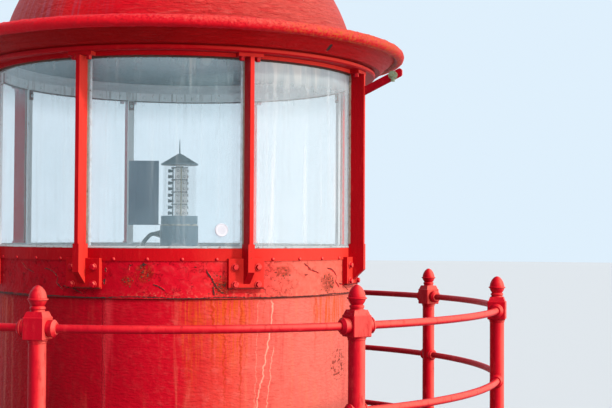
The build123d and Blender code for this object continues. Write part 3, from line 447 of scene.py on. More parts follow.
def frame_red():
    """Red outside and pale grey inside, parted where the glass stands."""
    finish = Finish("frame_red", specular=0.06)
    radius, height = finish.round_place()[1:]
    patches = finish.grain(6, 4)
    # Red by how it faces the sun: sun-faded paint with painted shade and sunlight
    red = finish.ramp(finish.facing(patches, 0.2), FRAME_FADE_AND_SHADE)
    strokes = finish.drawn(finish.place, (1, 1, 0.3), 34, 5, 0.65)
    red = finish.mix(strokes.between(0.54, 0.76) * 0.22, red, (0.93, 0.06, 0.05))
    red = finish.mix((1 - strokes).between(0.56, 0.74) * 0.32, red, (0.48, 0.001, 0.01))
    chips = finish.grain(70, 4, 0.7).between(0.66, 0.7)
    red = finish.mix(chips * 0.6, red, RUST)
    foot = (1 - (height - FOOT_LEVEL).between(0.002, 0.012)) * (radius > FOOT_BACK)
    red = finish.mix(foot * 0.8, red, GRIME)
    grey = finish.mix(strokes, (0.74, 0.84, 0.89), (0.86, 0.94, 0.97))
    dots = finish.grain(48, 3, 0.6).between(0.66, 0.71)
    grey = finish.mix(dots * 0.7, grey, (0.1, 0.085, 0.07))
    drips = finish.drawn(finish.place, (40, 40, 2), 1, 4).between(0.56, 0.66)
    near_head = (height - (HEAD_LEVEL - 0.15)).between(0, 0.14)
    grey = finish.mix(drips * near_head * 0.5, grey, (0.13, 0.1, 0.085))
    finish.colour = finish.mix(radius < PAINT_PARTING, red, grey)
    return finish.done(0.4 + strokes * 0.18, strokes, 0.0036)


def roof_red():
    """Dome and eave plate: rough brushed coats with painted shade and sunlight, orange with rust
    along the rim, pale inside.
    """
    finish = Finish("roof_red", specular=0.08)
    turn, radius, height = finish.round_place()
    patches = finish.grain(3, 4)
    share = finish.facing(patches, 0.18)
    sheet = finish.vector(turn * METRES_A_DEGREE, height, radius)
    swirl = finish.drawn(sheet, (2.4, 14, 9), 5, 6, 0.7, 1.2)
    grain = finish.grain(70, 6, 0.72)
    lit = share.between(0.3, 0.7)
    # Colour by how it faces the sun, sun fade with painted shade and sunlight; brush swirls painted
    # brighter where lit
    finish.colour = finish.ramp(share, ROOF_FADE_AND_SHADE)
    finish.coat(swirl.between(0.5, 0.64) * (0.04 + lit * 0.36), (0.97, 0.17, 0.14))
    finish.coat((1 - swirl).between(0.5, 0.66) * 0.5, (0.66, 0.001, 0.012))

    # Purple streaks of painted shade down the dome's shaded side, darker painted shade on the faces
    # under the eave, rust at the rim
    shaded = (1 - share.between(0.1, 0.46)) * (radius < DOME_FOOT) * (height > EAVE_LEVEL)
    washes = finish.drawn(sheet, (30, 1.4, 0.5), 1.5, 5, 0.65).between(0.5, 0.64)
    finish.coat(washes * shaded * 0.5, (0.52, 0.09, 0.16))
    # Faces that look down under the eave take a darker painted shade
    normal_up = finish.parts(finish.where.out("Normal"))[2]
    below = (normal_up < -0.1) * (radius > SOFFIT_START)
    below = below * (0.95 - swirl.between(0.5, 0.66) * 0.35)
    finish.coat(below, finish.ramp(share, SOFFIT_PAINTED_SHADE))
    rim = (radius - RIM_START).between(0, 0.03)
    eaten = (grain * 0.55 + swirl * 0.55).between(0.52, 0.66)
    rusty = rim * eaten * (turn - 16).between(0, 26)
    finish.coat(rusty * 0.75, (0.8, 0.15, 0.022))

    # Grey paint inside, with painted shade darkest just above the rings
    centre = finish.vector(0, 0, DOME_CENTRE)
    reach = finish.add("VectorMath", {"operation": "DISTANCE"}, {0: finish.place, 1: centre})
    within = (reach.out("Value") < DOME_INSIDE) * (radius < CURB_INSIDE)
    upper = (height - 2.31).between(0, 0.13)
    shade = finish.mix(upper, (0.14, 0.2, 0.24), (0.86, 0.93, 0.97))
    shade = finish.mix(height < RINGS_TOP_LEVEL, shade, (0.82, 0.91, 0.97))
    shade = finish.mix(patches.between(0.45, 0.7) * 0.2, shade, (0.36, 0.43, 0.48))
    finish.coat(within, shade)
    # Pale painted glints on the sunlit outside
    specks = finish.grain(46, 2).between(0.735, 0.755) * lit * (1 - within)
    finish.coat(specks, (0.93, 0.8, 0.74))
    return finish.done(0.3 + grain * 0.3, swirl * 0.66 + grain * 0.34, 0.034)


def crust_red():
    """Rough skin of paint over rust round the rolled edge."""
    finish = Finish("crust_red", specular=0.12)
    turn = finish.round_place()[0]
    patches = finish.grain(7, 4)
    share = finish.facing(patches, 0.2)
    grain = finish.grain(85, 6, 0.75)
    lumps = finish.grain(34, 4, 0.6)
    # Colour by how it faces the sun, sun fade with painted shade and sunlight, and pale grain on
    # the sunny side as bleached paint and painted highlights
    finish.colour = finish.ramp(share, CRUST_FADE_AND_SHADE)
    bleached_and_sunlit = grain.between(0.5, 0.6) * share.between(0.3, 0.8) * 0.5
    finish.coat(bleached_and_sunlit, (0.96, 0.19, 0.15))
    finish.coat((1 - grain).between(0.52, 0.62) * 0.55, (0.5, 0.001, 0.008))
    right = (turn - 14).between(0, 24)
    back = (1 - (turn + 130).between(0, 30)) * 0.7
    side = right + back
    rusty = grain.between(0.47, 0.56) * lumps.between(0.4, 0.56) * side
    finish.coat(rusty * 0.85, (0.78, 0.16, 0.02))
    finish.coat(grain.between(0.62, 0.68) * side, (0.24, 0.04, 0.012))
    return finish.done(0.34 + grain * 0.4, grain, 0.012)


def deck_grey():
    """Worn grey deck paint with a raised lozenge tread."""
    finish = Finish("deck_grey")
    x, y, z = finish.parts()
    first = finish.zigzag(x + y, TREAD) / TREAD
    second = finish.zigzag(x - y, TREAD) / TREAD
    tread = (first * second).between(0.55, 0.8) * (z > DECK - 0.0005)
    worn = finish.grain(4, 5, 0.6)
    fine = finish.grain(120, 3)
    finish.colour = finish.mix(worn.between(0.4, 0.66), (0.16, 0.165, 0.17), (0.27, 0.27, 0.265))
    finish.coat(tread * worn * 0.6, (0.36, 0.36, 0.35))
    rust = finish.grain(11, 6, 0.7).between(0.6, 0.68)
    finish.coat(rust * 0.6, (0.17, 0.065, 0.028))
    return finish.done(0.62 + fine * 0.2, tread + fine * 0.15, 0.0025)


def salty_glass():
    """Clear panes with salt at their edges and long dirty runs from the top."""
    finish = Finish("salty_glass", specular=0.42)
    turn, radius, height = finish.round_place()
    sheet = finish.vector(turn * METRES_A_DEGREE, height, radius)
    drop = HEAD_LEVEL - height

    # Dirt from the head ring, short all round and in single longer runs
    run = finish.drawn(sheet, (46, 2.4, 1), 1, 4, 0.55, 0.5)
    ends = finish.drawn(sheet, (22, 0, 0), 1, 2)
    long_run = run.between(0.52, 0.64) * (1 - (drop - ends * 0.34).between(-0.06, 0.03)) * 0.22
    wobble = (run - 0.5) * 5
    for middle, half, length in PANE_RUNS:
        narrow = half * (1 - drop * (0.7 / length))
        wet = (narrow - abs(turn + wobble - middle)).between(-0.5, 0.9)
        wet = wet * (1 - (drop - length).between(-0.08, 0.03))
        long_run = long_run.maths("MAXIMUM", long_run, wet * 0.6)
    line = stripe(turn, 49, 0.2) * (1 - abs(drop - 0.09).between(0.05, 0.08))

    # Salt at the edges of each pane, and painted sunlight as a whiter, thicker veil on the pane on
    # the right that the sun shines on
    edge = 1 - finish.zigzag(turn - BAR_TURN, BAY / 2).between(0.9, 2.6)
    foot = 1 - (height - SILL_LEVEL).between(0, 0.04)
    salt = (edge * 0.8 + foot) * finish.noise(sheet, 30, 5, 0.7).between(0.44, 0.62)
    right = (turn - 17).between(0, 2) * (1 - (turn - 62).between(0, 2))
    streak = finish.drawn(sheet, (38, 1, 1), 1, 5, 0.62)
    wash = streak.between(0.5, 0.72)
    cloud = finish.noise(sheet, 3, 3)
    tone = finish.mix(wash * 0.4 + right * 0.6, (0.62, 0.9, 1), (0.98, 1, 1))
    tone = finish.mix(long_run * 0.8, tone, (0.88, 0.84, 0.76))
    tone = finish.mix(salt, tone, (0.66, 0.72, 0.72))
    veil = 0.062 + cloud.between(0.3, 0.8) * 0.045 + wash * 0.05 + (right + right * wash) * 0.1
    # A thicker veil near the pane heads, painted light over the dim room seen through them
    veil = veil + (1 - drop.between(0, 0.15)) * (0.19 + right * 0.1)
    veil = veil + long_run * 0.24 + salt * 0.14 + line * 0.4
    finish.material.surface_render_method = "BLENDED"
    return finish.set(
        Base_Color=tone,
        Roughness=0.06 + wash * 0.25 + long_run * 0.3,
        Alpha=finish.add("Clamp", None, {0: veil, 1: 0, 2: 0.6}).out(0),
    )


def clear_acrylic():
    finish = Finish("clear_acrylic")
    streak = finish.drawn(finish.place, (60, 60, 3), 1, 3)
    finish.material.surface_render_method = "BLENDED"
    return finish.set(
        Base_Color=finish.mix(streak, (0.66, 0.78, 0.84), (0.88, 0.93, 0.95)),
        Roughness=0.05 + streak * 0.1,
        Alpha=0.05 + streak.between(0.55, 0.8) * 0.1,
    )


def plain_metal(name, dark, light, metallic=0, rough=0.4, grain=70, lumps=0.0006):
    """Painted or bare metal with a light mottle."""
    finish = Finish(name, metallic)
    mottle = finish.grain(grain, 4, 0.6)
    soft = finish.grain(grain * 0.12, 3)
    finish.colour = finish.mix(mottle * 0.5 + soft * 0.5, dark, light)
    return finish.done(rough + mottle * 0.18, mottle, lumps)


def green_bronze():
    finish = Finish("green_bronze", 0.75)
    green = finish.grain(70, 5, 0.7).between(0.36, 0.58)
    fine = finish.grain(220, 3)
    finish.set(Metallic=0.8 - green * 0.7)
    finish.colour = finish.mix(green, (0.26, 0.17, 0.08), (0.24, 0.33, 0.22))
    return finish.done(0.38 + green * 0.4, green + fine * 0.3, 0.0012)


def lamp_cast():
    """Grey lamp body, with white corrosion under its flange and black runs below it."""
    finish = Finish("lamp_cast", 0.1, 0.3)
    height = finish.round_place()[2]
    mottle = finish.grain(80, 4, 0.6)
    soft = finish.grain(11, 3)
    finish.colour = finish.mix(mottle * 0.4 + soft * 0.6, (0.15, 0.225, 0.29), (0.22, 0.31, 0.38))
    bloom = finish.grain(60, 4, 0.7).between(0.36, 0.52)
    eaten = stripe(height, FLANGE_LEVEL + 0.0025, 0.0065) * bloom
    finish.coat(eaten * 0.9, (0.66, 0.64, 0.56))
    runs = finish.drawn(finish.place, (60, 60, 2), 1, 3).between(0.6, 0.66)
    fall = FLANGE_LEVEL - height
    below = fall.between(0, 0.01) * (1 - fall.between(0.04, 0.09))
    finish.coat(runs * below * 0.8, GRIME)
    return finish.done(0.42 + mottle * 0.2, mottle + eaten, 0.0012)


def lamp_stack():
    """White drums between dark plates, a dark board at the side and a dull brass rod in front."""
    finish = Finish("lamp_stack", 0, 0.4)
    x, y = finish.parts()[:2]
    grain = finish.grain(160, 3)
    white = finish.mix(grain, (0.88, 0.91, 0.93), (0.97, 0.98, 0.98))
    dark = finish.mix(grain, (0.045, 0.055, 0.062), (0.12, 0.135, 0.15))
    aside = abs(x - DRUM_X)
    outside = aside.maths("MAXIMUM", aside, abs(y)) > DRUM_HALF + 0.0004
    finish.colour = finish.mix(outside, white, dark)
    rod = (aside < 0.0027) * (y < -DRUM_HALF - 0.0005)
    finish.coat(rod, (0.42, 0.31, 0.12))
    return finish.done(0.35 + grain * 0.2, grain, 0.0004)


def old_putty(name, first, second, dirt, grain=90):
    """Hard old putty or sealant, cracked and dirty."""
    finish = Finish(name, specular=0.2)
    lumps = finish.grain(grain, 5, 0.7)
    soft = finish.grain(14, 3)
    finish.colour = finish.mix(soft, first, second)
    finish.coat(lumps.between(0.56, 0.66) * 0.8, dirt)
    return finish.done(0.6 + lumps * 0.25, lumps, 0.0015)


RAIL_RED = coated_red("rail_red", brush=(1, 1, 0.3))
BOLT_RED = coated_red("bolt_red", rough=0.36, lumps=0.001)
WALL_RED = wall_red()
BAND_RED = band_red()
FRAME_RED = frame_red()
ROOF_RED = roof_red()
CRUST_RED = crust_red()
DECK_GREY = deck_grey()
GLASS = salty_glass()
ACRYLIC = clear_acrylic()
ROD_STEEL = plain_metal("rod_steel", (0.2, 0.19, 0.18), (0.42, 0.41, 0.39), 0.8, 0.42)
BRONZE = green_bronze()
LAMP_CAST = lamp_cast()
HAT_GREY = plain_metal("hat_grey", (0.13, 0.195, 0.24), (0.19, 0.26, 0.31), 0.1, 0.38)
SCREEN_GREY = plain_metal("screen_grey", (0.095, 0.15, 0.23), (0.135, 0.2, 0.29), 0, 0.45, 18)
PEDESTAL_GREY = plain_metal("pedestal_grey", (0.46, 0.52, 0.55), (0.6, 0.65, 0.67), 0, 0.42)
STACK = lamp_stack()
DARK_METAL = plain_metal("dark_metal", (0.03, 0.034, 0.038), (0.075, 0.082, 0.09), 0.4, 0.4)
CONDUIT_DARK = plain_metal("conduit_dark", (0.045, 0.055, 0.065), (0.085, 0.1, 0.115), 0, 0.5)
WHITE_PLASTIC = plain_metal("white_plastic", (0.78, 0.78, 0.84), (0.86, 0.86, 0.91), 0, 0.4)
BROWN_RUST = plain_metal(
    "brown_rust", (0.05, 0.014, 0.008), (0.24, 0.055, 0.018), 0, 0.7, 60, 0.002
)
CRACKS_AND_SHADE_DARK = plain_metal(
    "cracks_and_shade_dark", (0.012, 0.006, 0.006), (0.07, 0.02, 0.014), 0, 0.8, 90, 0.001
)
BAR_PUTTY = old_putty("bar_putty", (0.3, 0.1, 0.07), (0.3, 0.33, 0.27), (0.1, 0.03, 0.02))
FOOT_PUTTY = old_putty(
    "foot_putty", (0.4, 0.44, 0.44), (0.62, 0.66, 0.66), (0.22, 0.05, 0.04), 60
)
# Dark sealant under the head ring, partly painted shade
SEALANT_AND_SHADE = old_putty(
    "head_sealant_and_shade", (0.04, 0.022, 0.018), (0.11, 0.065, 0.05), (0.26, 0.02, 0.02)
)

# Which solids take which finish
SOLIDS = (
    (DECK_GREY, ("gallery_deck", "room_floor")),
    (RAIL_RED, ("deck_nosing", "base_flange", "top_rail", "middle_rail", "lower_rail")),
    (RAIL_RED, [f"rail_post_{number}" for number in range(1, BAYS + 1)]),
    (WALL_RED, [f"wall_plate_{number}" for number in range(1, 5)]), (BAND_RED, ("wall_band",)),
    (FRAME_RED, ("sill_ring", "bar_feet", "head_ring", "bar_heads", "cornice_ring")),
    (FRAME_RED, [f"glazing_bar_{number}" for number in range(1, BAYS + 1)]),
    (ROOF_RED, ("eave_gutter", "dome", "ventilator")), (BOLT_RED, ("conductor_arm",)),
    (BRONZE, ("conductor_clamp",)), (ROD_STEEL, ("lightning_rod",)), (GLASS, ("glass_panes",)),
    (WHITE_PLASTIC, ("glass_vent",)), (PEDESTAL_GREY, ("lamp_pedestal",)),
    (LAMP_CAST, ("lamp_base",)), (ACRYLIC, ("lamp_tube",)), (STACK, ("led_stack",)),
    (HAT_GREY, ("lamp_hat",)), (SCREEN_GREY, ("lamp_screen",)),
    (CONDUIT_DARK, ("lamp_conduit",)),
)
for finish, nodes in SOLIDS:
    for node in nodes:
        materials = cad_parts[node].data.materials
        materials.clear()
        materials.append(finish)


# Making pieces

BEAD_STEPS = 150


def shown(body, name, finish):
    """Turn a bmesh into an object of the scene."""
    mesh = bpy.data.meshes.new(name)
    body.to_mesh(mesh)
    body.free()
    mesh.materials.append(finish)
    made = bpy.data.objects.new(name, mesh)
    scene.collection.objects.link(made)
    return made


def keep(body, name, finish, smooth=40):
    """Close a piece, face it outwards and let it ride on the lantern."""
    open_ends = [edge for edge in body.edges if edge.is_boundary]
    if open_ends:
        bmesh.ops.holes_fill(body, edges=open_ends, sides=0)
    bmesh.ops.remove_doubles(body, verts=body.verts, dist=0.00002)
    bmesh.ops.recalc_face_normals(body, faces=body.faces)
    piece = shown(body, name, finish)
    piece.data.shade_smooth()
    piece.data.set_sharp_from_angle(angle=radians(smooth))
    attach(piece, "root")


def fresh(body):
    """Points made since the last call."""
    made = [v for v in body.verts if not v.tag]
    for v in made:
        v.tag = True
    return made


def outward(turn, radius, height, inward=False):
    """Placing of an upright piece, to stand out from a round wall or into the room."""
    spin = Matrix.Rotation(radians(turn), 4, "Z")
    lie = Matrix.Rotation(radians(-90 if inward else 90), 4, "X")
    return spin @ Matrix.Translation((0, -radius, height)) @ lie


def standing(turn, radius, height, flip=False):
    """Placing of an upright piece on a ring, upright or upside down."""
    spin = Matrix.Rotation(radians(turn), 4, "Z") @ Matrix.Translation((0, -radius, height))
    return spin @ Matrix.Rotation(pi, 4, "X") if flip else spin


def spun(body, points, edges, angle, steps, **how):
    """Points and edges drawn round the upright axis."""
    geom = points + edges
    centre, axis = (0, 0, 0), (0, 0, 1)
    bmesh.ops.spin(body, geom=geom, cent=centre, axis=axis, angle=angle, steps=steps, **how)


def round_part(body, profile, segments, place, uneven=0):
    """A profile of (radius, height) pairs spun round the upright axis and put in place."""
    points = [body.verts.new((radius, 0, height)) for radius, height in profile]
    edges = [body.edges.new(pair) for pair in zip(points, points[1:])]
    spun(body, points, edges, 2 * pi, segments, use_merge=True)
    near = [v for v in body.verts if not v.tag]
    bmesh.ops.remove_doubles(body, verts=near, dist=0.00001)
    made = fresh(body)
    bmesh.ops.transform(body, matrix=place, verts=made)
    for v in made:
        v.co += noise.noise_vector(v.co * 230) * uneven


def bolt(body, across, height, washer, place):
    """Six-sided bolt head on its round washer, both thick with paint."""
    rim = washer / 2
    disc = [(0, 0), (rim, 0), (rim, 0.0025), (rim - 0.001, 0.0035), (0, 0.0035)]
    round_part(body, disc, 20, place)
    half = across / 2
    head = [(0, 0.003), (half, 0.003), (half, height - 0.003)]
    head += [(half - 0.0025, height), (0, height + 0.0004)]
    round_part(body, head, 6, place)


def bead(body, profile, turn, along, uneven, rise=0, arc=0):
    """A closed (across, radius, height) profile drawn up a bar or round a ring, uneven."""
    points = [body.verts.new((across, -radius, height)) for across, radius, height in profile]
    edges = [body.edges.new(pair) for pair in zip(points, points[1:] + points[:1])]
    spin = Matrix.Rotation(radians(turn), 3, "Z")
    bmesh.ops.rotate(body, verts=points, cent=(0, 0, 0), matrix=spin)
    step = (0, 0, rise / BEAD_STEPS)
    spun(body, points, edges, radians(arc), BEAD_STEPS, dvec=step, use_duplicate=False)
    for v in fresh(body):
        fine = noise.noise_vector(v.co * along * 3.7) * uneven * 0.5
        v.co += noise.noise_vector(v.co * along) * uneven + fine


def torn_strip(body, path, inner, outer, lifts, seed, jitter=0.0016, cuts=5):
    """Strip with torn edges along a (turn, level) path, made flat and bent round the band."""
    points = [body.verts.new((radians(turn) * BAND_FACE, 0, level)) for turn, level in path]
    chain = [body.edges.new(pair) for pair in zip(points, points[1:])]
    tips = (points[0].co.copy(), points[-1].co.copy())
    bmesh.ops.subdivide_edges(body, edges=chain, cuts=cuts)
    line = [v for v in body.verts if not v.tag]
    for v in line:
        shake = noise.noise_vector(v.co * 170 + Vector((seed, 0, seed)))
        v.co += Vector((shake.x, 0, shake.z)) * jitter
    across = {}
    for v in line:
        beside = [edge.other_vert(v).co for edge in v.link_edges] + [v.co]
        along = beside[1] - beside[0]
        along = along if along.dot(tips[1] - tips[0]) > 0 else -along
        across[v] = Vector((-along.z, 0, along.x)).normalized()
    edges = list(dict.fromkeys(edge for v in line for edge in v.link_edges))
    grown = bmesh.ops.extrude_edge_only(body, edges=edges)["geom"]
    far = [item for item in grown if isinstance(item, bmesh.types.BMVert)]
    faces = [item for item in grown if isinstance(item, bmesh.types.BMFace)]
    sides = {v: across[v] for v in line}
    for v in far:
        others = (edge.other_vert(v) for edge in v.link_edges)
        sides[v] = next(across[other] for other in others if other in across)
    for group, offset, lift in ((line, inner, lifts[0]), (far, outer, lifts[1])):
        for v in group:
            taper = min(1, min((v.co - tip).length for tip in tips) / 0.01 + 0.15)
            wide = 0.9 + 1.1 * noise.noise(v.co * 190 + Vector((seed, 3, 0)))
            v.co += sides[v] * offset * taper * max(wide, 0.15)
            v.co.y = lift
    under = bmesh.ops.extrude_face_region(body, geom=faces, use_keep_orig=True)["geom"]
    for item in under:
        if isinstance(item, bmesh.types.BMVert):
            item.co.y = -0.003
    for v in fresh(body):
        turn, reach = v.co.x / BAND_FACE, BAND_FACE + v.co.y
        v.co = Vector((reach * sin(turn), -reach * cos(turn), DECK + v.co.z))


# Bolts and rivets

# Width across, height and the washer's width
FOOT_BOLT = (0.027, 0.015, 0.034)
HEAD_BOLT = (0.026, 0.018, 0.03)
FLANGE_BOLT = (0.024, 0.014, 0.032)
POST_BOLT = (0.019, 0.011, 0.024)
RING_BOLT = (0.015, 0.009, 0.019)
LEAF_BOLT = (0.013, 0.008, 0.017)
LIP_RIVET = [(0, 0), (0.008, 0), (0.0075, 0.003), (0.005, 0.0055), (0, 0.0065)]
FOOT_BOLT_TURN = degrees(asin(0.0535 / FOOT_FACE))
HEAD_BOLT_TURN = degrees(asin(0.0365 / 0.95))
POST_BOLT_SIDE = 0.055
POST_BOLT_TURN = degrees(asin(POST_BOLT_SIDE / RAIL_RADIUS))

feet = bmesh.new()
for bar in BARS:
    for turn in (bar - FOOT_BOLT_TURN, bar + FOOT_BOLT_TURN):
        for level in (1.185, 1.26):
            bolt(feet, *FOOT_BOLT, outward(turn, FOOT_FACE, DECK + level))
keep(feet, "foot_bolts", BOLT_RED)

heads = bmesh.new()
for bar in BARS:
    for turn in (bar - HEAD_BOLT_TURN, bar + HEAD_BOLT_TURN):
        bolt(heads, *HEAD_BOLT, standing(turn, 0.948, GLASS_TOP, flip=True))
keep(heads, "head_bolts", BOLT_RED)

lip = bmesh.new()
for bar in BARS:
    for share in (0.19, 0.4, 0.61, 0.82):
        place = outward(bar + BAY * share, LIP_FACE, SILL_LIP + 0.007)
        round_part(lip, LIP_RIVET, 12, place)
keep(lip, "lip_rivets", BOLT_RED)

flange = bmesh.new()
for bar in BARS:
    for share in (0.17, 0.39, 0.61, 0.83):
        bolt(flange, *FLANGE_BOLT, standing(bar + BAY * share, 0.935, DECK + 0.01))
    post = bar - BAR_TURN + POST_TURN
    for turn in (post - POST_BOLT_TURN, post + POST_BOLT_TURN):
        for reach in (-POST_BOLT_SIDE, POST_BOLT_SIDE):
            bolt(flange, *POST_BOLT, standing(turn, RAIL_RADIUS + reach, DECK + 0.016))
keep(flange, "flange_bolts", BOLT_RED)

inner = bmesh.new()
for bar in BARS:
    for share in (0.1, 0.28, 0.5, 0.72, 0.9):
        place = outward(bar + BAY * share, RING_INSIDE, DECK + 2.184, inward=True)
        bolt(inner, *RING_BOLT, place)
    bolt(inner, *LEAF_BOLT, outward(bar, LEAF_FACE - 0.0066, RING_LOW - 0.034, inward=True))
keep(inner, "ring_bolts", FRAME_RED)

clips = bmesh.new()
for bar in BARS:
    place = standing(bar, LEAF_FACE - 0.0032, RING_LOW - 0.03)
    bmesh.ops.create_cube(clips, size=1, matrix=place @ Matrix.Diagonal((0.03, 0.007, 0.052, 1)))
bmesh.ops.bevel(
    clips, geom=clips.edges[:], offset=0.002, segments=2, affect="EDGES", profile=0.5, material=-1
)
keep(clips, "head_clips", BROWN_RUST)


# Putty and sealant round the panes, the dark sealant at their heads partly painted shade

putty = bmesh.new()
for bar in BARS:
    for side in (-1, 1):
        near = side * FIN_SIDE
        wedge = [
            (near, GLASS_FACE + 0.0003, SHOE_TOP),
            (near + side * 0.0042, GLASS_FACE + 0.0003, SHOE_TOP),
            (near + side * 0.0024, GLASS_FACE + 0.005, SHOE_TOP),
            (near, GLASS_FACE + 0.0085, SHOE_TOP),
        ]
        rise = GLASS_TOP - SHOE_TOP - 0.001
        bead(putty, wedge, bar, 75, 0.0012, rise=rise)
keep(putty, "bar_putty", BAR_PUTTY, smooth=60)

# Beads along the panes, with sections of (radius, level) points
out, back = GLASS_FACE + 0.0003, GLASS_BACK
OUTER_FOOT = ((out, 1.3412), (0.9072, 1.3422), (0.9075, 1.3462), (out, 1.35))
# The dark beads at the heads, outside and inside, are sealant and painted shade under the head ring
OUTER_HEAD = ((out, 2.169), (0.913, 2.169), (0.9095, 2.165), (out, 2.1625))
INNER_HEAD = ((back, 2.1665), (0.8893, 2.1665), (0.8915, 2.1625), (back, 2.16))
INNER_FOOT = ((back, 1.3443), (0.89, 1.3443), (0.8925, 1.349), (back, 1.351))
for name, finish, clear, section in (
    ("foot_putty", FOOT_PUTTY, 1, OUTER_FOOT),
    ("head_sealant_and_shade", SEALANT_AND_SHADE, 0.7, OUTER_HEAD),
    ("inner_sealant_and_shade", SEALANT_AND_SHADE, 1.2, INNER_HEAD),
    ("inner_putty", FOOT_PUTTY, 1.2, INNER_FOOT),
):
    body = bmesh.new()
    profile = [(0, radius, DECK + level) for radius, level in section]
    for bar in BARS:
        bead(body, profile, bar + clear, 60, 0.001, arc=BAY - 2 * clear)
    keep(body, name, finish, smooth=60)


# Rough skin round the rolled edge

crust = bmesh.new()
skin = [(angle, 0.0255 if angle in (-112, 112) else 0.0263) for angle in range(-112, 113, 14)]
skin += [(angle, 0.0235) for angle in range(90, -91, -30)]
ring = [
    (0, ROLL_RADIUS + reach * cos(radians(angle)), ROLL_HEIGHT + reach * sin(radians(angle)))
    for angle, reach in skin
]
points = [crust.verts.new((x, -radius, z)) for x, radius, z in ring]
edges = [crust.edges.new(pair) for pair in zip(points, points[1:] + points[:1])]
spun(crust, points, edges, 2 * pi, 900, use_merge=True)
for v in crust.verts:
    middle = Vector((v.co.x, v.co.y, 0)).normalized() * ROLL_RADIUS + Vector((0, 0, ROLL_HEIGHT))
    out = v.co - middle
    if out.length > 0.026:
        broad = max(0, noise.noise(v.co * 46)) * 0.003
        fine = max(0, noise.noise(v.co * 130)) * 0.0014
        v.co += out.normalized() * (broad + fine)
keep(crust, "rim_crust", CRUST_RED, smooth=55)


# Cracks, torn paint and rust on the band, and a dark strip of gap and painted shade along the lap

# Each crack has its width and a path of (turn, level) points
FRONT_CRACKS = (
    (0.008, [(-20.2, 1.2572), (-20.4, 1.2477), (-20.1, 1.2379)]),
    (0.0095, [(-20.4, 1.2099), (-20.8, 1.1986), (-20.6, 1.184)]),
    (0.0028, [(-13.7, 1.2459), (-13.6, 1.2673), (-12.6, 1.2717)]),
    (0.01, [(-10.4, 1.2694), (-8.8, 1.2721)]),
    (0.0042, [(-7, 1.1885), (-5.2, 1.1763), (-3.7, 1.1614)]),
    (0.005, [(-9.9, 1.1544), (-9.2, 1.1545)]),
    (0.0068, [
        (7.5, 1.247), (7.7, 1.2406), (8.3, 1.2255), (9.1, 1.21),
        (9.5, 1.1944), (10.1, 1.1793), (10.8, 1.1646),
    ]),
    (0.0056, [(9.5, 1.1785), (9.5, 1.1583), (9.8, 1.135)]),
    (0.0036, [(10.2, 1.1776), (11.2, 1.1607), (12.4, 1.145)]),
    (0.0075, [(4.2, 1.2621), (4.8, 1.2621)]),
)
LAP_LINE = (
    (-67.3, 1.1289), (-56.6, 1.1322), (-38.3, 1.1288), (-22.6, 1.1271), (-15.3, 1.1321),
    (-10.3, 1.133), (-4.5, 1.1306), (-2.6, 1.1262), (2, 1.1262), (6.1, 1.1268), (9.7, 1.1299),
    (15.6, 1.1304), (23.8, 1.1266), (36.2, 1.1262), (46.9, 1.1268), (52.5, 1.13), (58.7, 1.1275),
    (62.3, 1.1268),
)
RIGHT_CRACKS = (
    (0.0032, [(38.5, 1.2738), (40, 1.2608), (41.2, 1.2442), (43.7, 1.2352), (45, 1.2266)]),
    (0.0044, [
        (48.9, 1.25), (51.3, 1.2441), (52.9, 1.2319), (54.3, 1.2131),
        (53.8, 1.1868), (56.1, 1.1584),
    ]),
    (0.0034, [(56.1, 1.1753), (58.7, 1.1706), (62.9, 1.1409)]),
    (0.004, [(26.7, 1.2179), (26.7, 1.2012)]),
    (0.003, [(27.7, 1.2353), (28.7, 1.2373)]),
    (0.0034, [(38.6, 1.2229), (40.2, 1.2242)]),
)
cracks_and_lap_shade = bmesh.new()
edging = bmesh.new()
for bay in range(BAYS):
    shift = BAY * (bay - bay % 2)
    for number, (width, path) in enumerate(RIGHT_CRACKS if bay % 2 else FRONT_CRACKS):
        moved = [(turn + shift, height) for turn, height in path]
        seed = bay * 5 + number
        half = width / 2
        torn_strip(cracks_and_lap_shade, moved, -half, half, (0.0004, 0.0004), seed)
        for side in (-1, 1):
            reach = (side * half, side * (half + 0.0036))
            torn_strip(edging, moved, *reach, (0.0012 - 0.0004 * side, 0.0001), seed)
# A dark wavy strip along the band's lower edge, the open lap and painted shade under it
for shift in (0, 135, 270):
    lap = [(turn + shift, height) for turn, height in LAP_LINE] + [(shift + 67.6, 1.1285)]
    torn_strip(cracks_and_lap_shade, lap, -0.0021, 0.0021, (0.0006, 0.0006), shift, jitter=0.002, cuts=14)
keep(cracks_and_lap_shade, "band_cracks_and_lap_shade", CRACKS_AND_SHADE_DARK, smooth=60)
keep(edging, "torn_paint", BAND_RED, smooth=60)

# A dark plate in each drain slot, rust and painted shade inside the slot
drains = bmesh.new()
slope = Matrix.Rotation(radians(-42.3), 4, "X")
for turn in (39.6, 219.6):
    place = standing(turn, 1.033, DECK + 2.2385) @ slope @ Matrix.Diagonal((0.0098, 0.0218, 1, 1))
    round_part(drains, [(0, -0.002), (1, -0.002), (1, 0.001), (0.8, 0.002), (0, 0.0015)], 24, place)
keep(drains, "drain_rust_and_shade", CRACKS_AND_SHADE_DARK)

